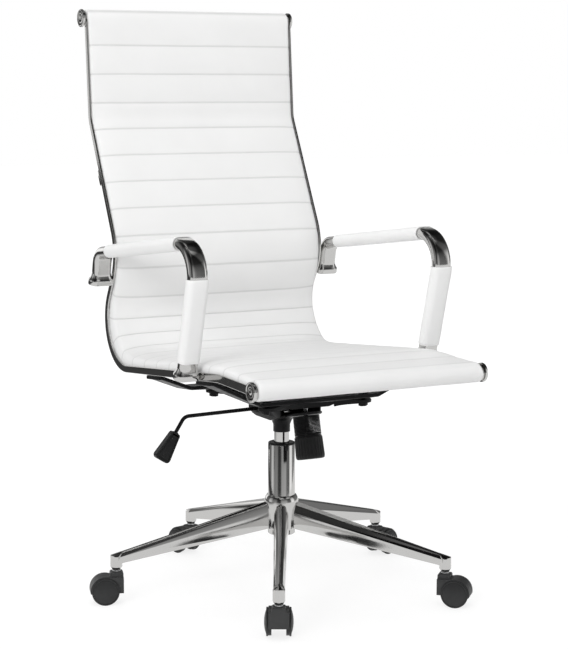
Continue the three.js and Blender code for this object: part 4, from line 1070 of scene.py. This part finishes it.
# arm loops and their leather sleeves
armTube = {
    "corners": [(275, 184), (262, 245), (-175, 301), (-108, 59)],
    "radii": [30, 55],
    "width": 0.036,
    "depth": 0.020,
    "wall": 0.0022,
    "edge": 0.0005,
    # from the end on: height, half width, half depth
    "foot": [
        (0.0, 0.0235, 0.015), (0.0006, 0.0238, 0.0153), (0.0092, 0.0238, 0.0153),
        (0.0104, 0.0232, 0.0146), (0.0125, 0.0214, 0.0129), (0.0165, 0.0195, 0.0113),
        (0.0220, 0.0183, 0.0103),
    ],
    "fromMiddle": 0.2435,
}
armRuns = roundedRuns(armTube["corners"], armTube["radii"])
armLength = runsLength(armRuns)
armX = columnX + armTube["fromMiddle"]


# a ring of the tube's outline, its long way across the chair
def stadiumRing(name, width, depth, corner=12):
    clearSelection()
    bpy.ops.mesh.primitive_circle_add(vertices=4 * corner, radius=depth / 2, fill_type="NOTHING")
    ring = settle(called(bpy.context.object, name))
    bpy.ops.object.mode_set(mode="EDIT")
    for side in (1, -1):
        pick(ring, "VERT", lambda co: co.x * side > depth / 2000)
        bpy.ops.transform.translate(value=(side * (width - depth) / 2, 0, 0))
    leaveEdit()
    return ring


# lays a ring across the arm's line at a point of it
def layOnArm(ring, point, ahead):
    ring.matrix_world = Matrix(
        (
            (1, 0, 0, armX),
            (0, -ahead.y, ahead.x, point.x),
            (0, ahead.x, ahead.y, point.y),
            (0, 0, 0, 1),
        )
    )
    settle(ring)


# resizes the selected section across its own width and depth
def selectedGrow(piece, centre, ahead, wide, deep):
    shape = bmesh.from_edit_mesh(piece.data)
    side = Vector((0, -ahead.y, ahead.x))
    for vert in shape.verts:
        if vert.select:
            out = vert.co - centre
            thick = out.dot(side)
            vert.co += Vector((1, 0, 0)) * out.x * (wide - 1) + side * thick * (deep - 1)
    bmesh.update_edit_mesh(piece.data)


def makeArm(tube):
    width, depth, foot = tube["width"], tube["depth"], tube["foot"]
    footHeight = foot[-1][0]
    ring = stadiumRing("armLeft", width, depth)
    # the first foot is grown flat at the origin, then laid on the line
    editAll(ring)
    resizeAbout((0, 0, 0), 2 * foot[0][1] / width, 2 * foot[0][2] / depth, 1)
    for (lowZ, lowX, lowY), (highZ, highX, highY) in zip(foot, foot[1:]):
        extrudeBy(0, 0, highZ - lowZ)
        resizeAbout((0, 0, highZ), highX / lowX, highY / lowY, 1)
    leaveEdit()
    start, ahead = alongRuns(armRuns, 0.0)
    layOnArm(ring, start, ahead)
    top = start + ahead * footHeight
    bpy.ops.object.mode_set(mode="EDIT")
    pick(ring, "VERT", lambda co: (Vector((co.y, co.z)) - top).dot(ahead) > -0.0002)
    growAlong(partOfRuns(armRuns, footHeight, armLength - footHeight), 3.0)
    lastPoint, lastAhead = alongRuns(armRuns, armLength)
    for (highZ, highX, highY), (lowZ, lowX, lowY) in zip(foot[::-1], foot[-2::-1]):
        move = lastAhead * (highZ - lowZ)
        extrudeBy(0, move.x, move.y)
        spot = lastPoint - lastAhead * lowZ
        selectedGrow(ring, Vector((armX, *spot)), lastAhead, lowX / highX, lowY / highY)
    leaveEdit()
    return ring


# gives the tube its wall and cuts the feet off flat against the rail
def closeFeet(arm, tube):
    bake(arm, "SOLIDIFY", thickness=tube["wall"], offset=-1, use_rim=True)
    editAll(arm)
    bpy.ops.mesh.bisect(
        plane_co=(railHigh.x + hairGap, 0, 0), plane_no=(1, 0, 0), use_fill=True, clear_inner=True
    )
    leaveEdit()
    outward(arm)
    bevelEdges(arm, tube["edge"], 2, 50)
    return smooth(arm, 45)


finishPair(closeFeet(makeArm(armTube), armTube), "armRight", "chrome", "arm_loop")
print("arm loops ready")

sleeve = {
    "gap": 0.0004,
    "wall": 0.0016,
    "edge": 0.0006,
    "hem": 0.00045,
    "hemLength": 0.0055,
    "slack": 0.0005,
    "wave": 0.0004,
    "fineWave": 0.00022,
    "waveScale": 30,
    "fineScale": 3.1,  # times the wave's own
    "flankShare": 0.6,  # how much of the slack is left where the tube is thin
    "topRear": 210,
    "topFront": -98,
    "uprightTop": 235,
    "uprightFoot": 89,
    "fill": 0.9,
}


# the first distance along the arm at which a point passes the test
def distanceAt(test, start=0.0):
    steps = 2000
    for step in range(steps + 1):
        distance = start + (armLength - start) * step / steps
        if test(alongRuns(armRuns, distance)[0]):
            return distance
    return armLength


# the closest point of the tube's centre line, straight by straight and arc by arc
def nearestOnArm(flat):
    spots = []
    for run in armRuns:
        if run[0] == "line":
            along = min(run[3], max(0.0, (flat - run[1]).dot(run[2])))
            spots.append(run[1] + run[2] * along)
        else:
            spoke, first = flat - run[1], run[2] - run[1]
            turn = math.atan2(first.x * spoke.y - first.y * spoke.x, first.dot(spoke))
            turn = min(max(turn, min(0.0, run[3])), max(0.0, run[3]))
            spots.append(run[1] + Matrix.Rotation(turn, 2) @ first)
    return min(spots, key=lambda spot: (spot - flat).length_squared)


def makeSleeve(name, start, stop, hemAt, cover):
    width, depth, gap = armTube["width"], armTube["depth"], cover["gap"]
    ring = stadiumRing(name, width + 2 * gap, depth + 2 * gap, 14)
    layOnArm(ring, *alongRuns(armRuns, start))
    editAll(ring)
    growAlong(partOfRuns(armRuns, start, stop), 4.0, 0.006)
    leaveEdit()
    outward(ring)
    bake(ring, "SOLIDIFY", thickness=cover["wall"], offset=1, use_rim=True)
    bevelEdges(ring, cover["edge"], 2, 60)
    # a turned hem and the slack of leather pulled over a tube
    hemPoint, hemAhead = alongRuns(armRuns, hemAt)
    innerWall = depth / 2 + gap + cover["wall"] * 0.4
    for vert in ring.data.vertices:
        flat = Vector((vert.co.y, vert.co.z))
        nearest = nearestOnArm(flat)
        out = Vector((vert.co.x - armX, flat.x - nearest.x, flat.y - nearest.y))
        beyond = max(0.0, abs(out.x) - (width / 2 - depth / 2))
        if math.hypot(beyond, out.y, out.z) < innerWall:
            continue
        spot = vert.co * cover["waveScale"]
        wave = noise.noise(spot) * cover["wave"]
        fineWave = noise.noise(spot * cover["fineScale"]) * cover["fineWave"]
        lift = cover["hem"] if abs((flat - hemPoint).dot(hemAhead)) < cover["hemLength"] else 0.0
        lift += cover["slack"] + wave + fineWave
        spread = min(1.0, abs(out.x) / (width / 2))
        share = cover["flankShare"] + (1 - cover["flankShare"]) * spread
        vert.co += out.normalized() * lift * share
    return smooth(ring, 60)


topStart = distanceAt(lambda point: point.x <= columnY + mm(sleeve["topRear"]))
topStop = distanceAt(lambda point: point.x <= columnY + mm(sleeve["topFront"]))
frontHalf = armLength / 2
uprightStart = distanceAt(lambda point: point.y <= barFloor + mm(sleeve["uprightTop"]), frontHalf)
uprightStop = distanceAt(lambda point: point.y <= barFloor + mm(sleeve["uprightFoot"]), frontHalf)
for name, node, start, stop, hemAt in (
    ("armTopSleeve", "arm_top_sleeve", topStart, topStop, topStop),
    ("armUprightSleeve", "arm_upright_sleeve", uprightStart, uprightStop, uprightStart),
):
    left = makeSleeve(name + "Left", start, stop, hemAt, sleeve)
    for piece in finishPair(left, name + "Right", "sleeve_leather", node):
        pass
print("sleeves ready")

# casters
casterWheel = {
    "rings": [
        (0.0215, 0.0126), (0.0232, 0.0126), (0.0236, 0.0130), (0.0236, 0.0179), (0.0244, 0.0184),
        (0.0248, 0.0188), (0.0250, 0.0195), (0.0250, 0.0206), (0.0247, 0.0213), (0.0241, 0.0216),
        (0.0228, 0.0216), (0.0224, 0.0214), (0.0221, 0.0210), (0.0218, 0.0210), (0.0214, 0.0213),
        (0.0208, 0.0218), (0.0194, 0.0222), (0.0172, 0.0229), (0.0146, 0.0237), (0.0118, 0.0243),
        (0.0086, 0.0248), (0.0056, 0.0251), (0.0030, 0.0253), (0.0010, 0.0253),
    ],
    "sides": 64,
}
casterHood = {"voxel": 0.0009, "softness": 5, "lowest": 0.0212}


def makeHood(number, hood):
    piece = dressedCopy(f"caster_{number}_hood", f"caster{number}Hood", edge=0)
    bake(piece, "REMESH", mode="VOXEL", voxel_size=hood["voxel"], use_smooth_shade=True)
    bake(piece, "SMOOTH", factor=0.5, iterations=hood["softness"])
    editAll(piece)
    bpy.ops.mesh.bisect(
        plane_co=(0, 0, hood["lowest"]), plane_no=(0, 0, -1), clear_outer=True, use_fill=True
    )
    leaveEdit()
    return smooth(piece, 70)


wheelMaster = turnedPiece("wheelMaster", casterWheel["rings"], casterWheel["sides"])
smooth(wheelMaster, 40)
for number in range(1, 6):
    body = f"caster_{number}"
    for side in ("a", "b"):
        joint = joints[f"{body}_roll_{side}"]
        node = f"{body}_wheel_{side}"
        low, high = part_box(node)
        axis, centre = Vector(joint["axis"]), Vector(joint["pos_m"])
        if axis.dot((low + high) / 2 - centre) < 0:
            axis = -axis
        wheel = place(copyOf(wheelMaster, f"caster{number}Wheel{side.upper()}"), axis, centre)
        finishPiece(wheel, f"{body}_roller_{side}", "wheel_nylon", [node])
    hood = makeHood(number, casterHood)
    finishPiece(hood, body, "black_plastic", [f"{body}_hood"], [hoodPlastic])
    for kind in ("stem", "axle"):
        dressedPiece(f"{body}_{kind}", f"caster{number}{kind.title()}", body, "steel", 0.0004)
bpy.data.objects.remove(wheelMaster)
print("casters ready")

# base, column and lift
column = {
    "tube": [
        (0.0238, 0.107), (0.0250, 0.1085), (0.0250, 0.2749), (0.0246, 0.2755), (0.0234, 0.2755),
        (0.0232, 0.2750), (0.0232, 0.111), (0.0232, 0.108), (0.0238, 0.107),
    ],
    "lift": [
        (0.0133, 0.127), (0.0140, 0.1278), (0.0140, 0.2965), (0.0133, 0.3130), (0.0130, 0.3350),
        (0.0122, 0.3359),
    ],
    "tubeSides": 96,
    "liftSides": 72,
}
dressedPiece("star_base", "starBase", "base", "chrome", 0.0008, 3, 30)
columnTube = turnedPiece("columnTube", column["tube"], column["tubeSides"], hollow=True)
liftTube = turnedPiece("liftTube", column["lift"], column["liftSides"])
for piece, body, node in (
    (columnTube, "base", "column_outer_tube"), (liftTube, "lift", "gas_lift_cylinder"),
):
    smooth(place(piece, (0, 0, 1), (columnX, columnY, 0)), 35)
    finishPiece(piece, body, "chrome", [node])
dressedPiece("column_guide_bush", "columnBush", "base", "black_plastic", 0.0004, 2, 35)
dressedPiece("piston_rod", "pistonRod", "base", "steel", 0.0004)
dressedPiece("release_pin", "releasePin", "release", "steel", 0.0005)
print("base and column ready")

# tilt mechanism
dressedPiece("mechanism_housing", "housing", "mechanism", "dark_steel", 0.0009, 2, 40)
dressedPiece("tilt_pivot_pin", "pivotPin", "mechanism", "steel", 0.0006)

springAxis = -Vector(joints["tension_advance"]["axis"]).normalized()
spring = {
    "seat": (-0.093, 0.008),  # in front of the column and over the top of the gas lift
    "radius": 0.0233,
    "wire": 0.00106,
    "turns": 14,
    "length": 0.0345,
    "start": 0.0014,  # down the axis from the spring's seat
    "keep": 0.64,
    "sides": 10,
    "stepsPerTurn": 44,
}
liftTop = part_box("gas_lift_cylinder")[1].z
springTop = Vector((columnX, columnY + spring["seat"][0], liftTop + spring["seat"][1]))


def makeSpring(coil):
    rise = coil["length"] - 2 * coil["wire"]
    clearSelection()
    bpy.ops.mesh.primitive_circle_add(
        vertices=coil["sides"], radius=coil["wire"], fill_type="NOTHING",
        location=(coil["radius"], 0, 0), rotation=(math.pi / 2, 0, 0),
    )
    piece = settle(called(bpy.context.object, "tensionSpring"))
    bake(
        piece, "SCREW", angle=math.tau, iterations=coil["turns"], steps=coil["stepsPerTurn"],
        render_steps=coil["stepsPerTurn"], screw_offset=rise / coil["turns"],
        use_merge_vertices=False,
    )
    editAll(piece)
    bpy.ops.mesh.remove_doubles(threshold=0.00001)
    bpy.ops.mesh.select_all(action="DESELECT")
    bpy.ops.mesh.select_mode(type="VERT")
    bpy.ops.mesh.select_non_manifold()
    bpy.ops.mesh.edge_face_add()
    for height in (0, rise):  # the closed end turns
        bpy.ops.mesh.primitive_torus_add(
            major_radius=coil["radius"], minor_radius=coil["wire"], location=(0, 0, height),
            major_segments=coil["stepsPerTurn"], minor_segments=coil["sides"],
        )
    leaveEdit()
    outward(piece, merge=0)
    place(piece, springAxis, springTop + springAxis * (coil["start"] + coil["wire"]))
    return smooth(piece, 60)


tensionSpring = makeSpring(spring)
finishPiece(tensionSpring, "mechanism", "dark_steel", ["tension_spring"])
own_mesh(tensionSpring)

knob = {
    "start": 0.0386,  # down the axis from the spring's seat
    "flutes": 28,
    "fluteDepth": 0.0008,
    "fluteLow": 0.002,
    "fluteHigh": 0.0385,
    "fluteFade": 0.003,
    "fluteRadius": 0.022,
    "rings": [
        (0.0236, 0.0), (0.0248, 0.0004), (0.0252, 0.0014), (0.0253, 0.0040), (0.0256, 0.0140),
        (0.0259, 0.0240), (0.0262, 0.0320), (0.0262, 0.0350), (0.0258, 0.0376), (0.0248, 0.0394),
        (0.0230, 0.0404), (0.0190, 0.0408), (0.0140, 0.0409), (0.0130, 0.0402), (0.0060, 0.0402),
    ],
}


def makeKnob(grips):
    piece = turnedPiece("tensionKnob", grips["rings"], grips["flutes"] * 8)
    for vert in piece.data.vertices:
        away = math.hypot(vert.co.x, vert.co.y)
        valley = 0.5 - 0.5 * math.cos(math.atan2(vert.co.y, vert.co.x) * grips["flutes"])
        low = clamp((vert.co.z - grips["fluteLow"]) / grips["fluteFade"])
        high = clamp((grips["fluteHigh"] - vert.co.z) / grips["fluteFade"])
        if away > grips["fluteRadius"]:
            scale = 1 - grips["fluteDepth"] * valley**2 * low * high / away
            vert.co.x *= scale
            vert.co.y *= scale
    place(piece, springAxis, springTop + springAxis * grips["start"])
    return smooth(piece, 50)


finishPiece(makeKnob(knob), "tension_knob", "black_plastic", ["tension_knob"])
dressedPiece("tension_washer", "tensionWasher", "tension_plate", "dark_steel", 0.0003)
dressedPiece("tension_bolt", "tensionBolt", "tension_bolt", "steel", 0.0005)
print("tilt mechanism ready")

# height lever
dressedPiece("lever_rod", "leverRod", "lever", "dark_steel", 0.0003, 1, 60)
dressedPiece("lever_bush", "leverBush", "lever_carrier", "black_plastic", 0.0004)

grip = {
    "length": 0.056,
    "neck": 0.017,
    "end": 0.033,
    "thick": 0.012,
    "endRound": 0.0075,
    "neckRound": 0.003,
    "edge": 0.0009,
    "panel": [(0.0028, 0), (0.0007, -0.0009), (0.0012, 0), (0.0007, 0.0008)],  # inset, rise
    "bend": (0.197, 0.003),  # out from the column and down from the lever's axis
    "tip": (0.245, 0.075),  # out from the column and down from the bend
}


def makeGrip(paddle):
    clearSelection()
    bpy.ops.mesh.primitive_cube_add(size=1)
    piece = called(bpy.context.object, "leverGrip")
    piece.scale = (paddle["neck"], paddle["length"], paddle["thick"])
    settle(piece)
    bpy.ops.object.mode_set(mode="EDIT")
    half = paddle["length"] / 2
    pick(piece, "VERT", lambda co: co.y > 0)
    resizeAbout((0, half, 0), paddle["end"] / paddle["neck"], 1, 1)
    pick(piece, "EDGE", lambda a, b: min(a.y, b.y) > 0 and abs(a.x - b.x) < 1e-5)
    bpy.ops.mesh.bevel(offset=paddle["endRound"], segments=6, affect="EDGES", profile=0.45)
    pick(piece, "EDGE", lambda a, b: max(a.y, b.y) < 1e-4 - half and abs(a.x - b.x) < 1e-5)
    bpy.ops.mesh.bevel(offset=paddle["neckRound"], segments=3, affect="EDGES")
    for side in (1, -1):
        pick(piece, "FACE", lambda middle, normal: normal.z * side > 0.9 and middle.z * side > 0)
        for inset, rise in paddle["panel"]:
            bpy.ops.mesh.inset(thickness=inset)
            if rise:
                bpy.ops.transform.translate(value=(0, 0, side * rise))
    leaveEdit()
    bevelEdges(piece, paddle["edge"], 3, 40)
    return piece


# lays the paddle on the slanting end of the lever rod
def hangGrip(piece, paddle):
    bendZ = joints["lever_lift"]["pos_m"][2] - paddle["bend"][1]
    bend = Vector((columnX - paddle["bend"][0], columnY, bendZ))
    tip = Vector((columnX - paddle["tip"][0], columnY, bend.z - paddle["tip"][1]))
    down = (tip - bend).normalized()
    across = down.cross(Vector((0, 1, 0))).normalized()
    turn = Matrix((across, down, (0, 1, 0))).transposed().to_4x4()
    piece.matrix_world = Matrix.Translation(tip - down * paddle["length"] / 2) @ turn
    settle(piece)
    outward(piece)
    return smooth(piece, 40)


leverGrip = hangGrip(makeGrip(grip), grip)
finishPiece(leverGrip, "lever", "black_plastic", ["lever_grip"])
print("lever ready")

# seat frame
crossBar = {
    "narrowTo": 0.085,
    "wideFrom": 0.170,
    "flare": 1.9,
    "gap": 0.0004,
    "seatShare": 0.45,  # the share of the side line that is seat
}
seatPlateArms = {"from": 0.0459, "tipDepth": 0.005, "keep": 0.36}
seatBarEdge = 0.0008


# the height of a rail's lower edge over the seat, at a place along the chair
def railLowerEdge(y, samples):
    point, depth = min(samples, key=lambda sample: abs(sample[0].x - y))
    return point.y - depth / 2


# broadens a bar's raised ends and lays them against the rails' lower edges
def flareEnds(piece, bar):
    seatLength = bar["seatShare"] * sideLength
    distances = [seatLength * step / 300 for step in range(301)]
    samples = [(alongRuns(sideRuns, far)[0], railDepth(far / sideLength)) for far in distances]
    verts = piece.data.vertices
    top = max(vert.co.z for vert in verts)
    middleY = sum(vert.co.y for vert in verts) / len(verts)
    for vert in verts:
        out = abs(vert.co.x - columnX)
        share = eased(clamp((out - bar["narrowTo"]) / (bar["wideFrom"] - bar["narrowTo"])))
        if share > 0:
            vert.co.y = middleY + (vert.co.y - middleY) * (1 + (bar["flare"] - 1) * share)
            lowered = railLowerEdge(vert.co.y, samples) - bar["gap"] - top
            vert.co.z += lowered * share


# the plate's four arms are no deeper than its cut-out front edge
def slimArms(piece, arms):
    top = max(vert.co.z for vert in piece.data.vertices)
    for vert in piece.data.vertices:
        below = top - vert.co.z - arms["tipDepth"]
        if abs(vert.co.x - columnX) > arms["from"] and below > 0:
            vert.co.z = top - arms["tipDepth"] - below * arms["keep"]


for node, name, shaped, numbers in (
    ("seat_plate", "seatPlate", slimArms, seatPlateArms),
    ("seat_cross_bar_front", "crossBarFront", flareEnds, crossBar),
    ("seat_cross_bar_rear", "crossBarRear", flareEnds, crossBar),
):
    piece = dressedCopy(node, name, 0, 2, 40)
    shaped(piece, numbers)
    bevelEdges(piece, seatBarEdge, 2, 40)
    finishPiece(smooth(piece, 40), "seat", "dark_steel", [node])
dressedPiece("back_cross_bar", "backCrossBar", "seat", "chrome", 0.0005, 2, 40)
dressedPiece("front_roll_bar", "frontRollBar", "seat", "steel", 0.0005, 2, 40)
dressedPiece("top_roll_bar", "topRollBar", "seat", "steel", 0.0005, 2, 40)
print("seat frame ready")
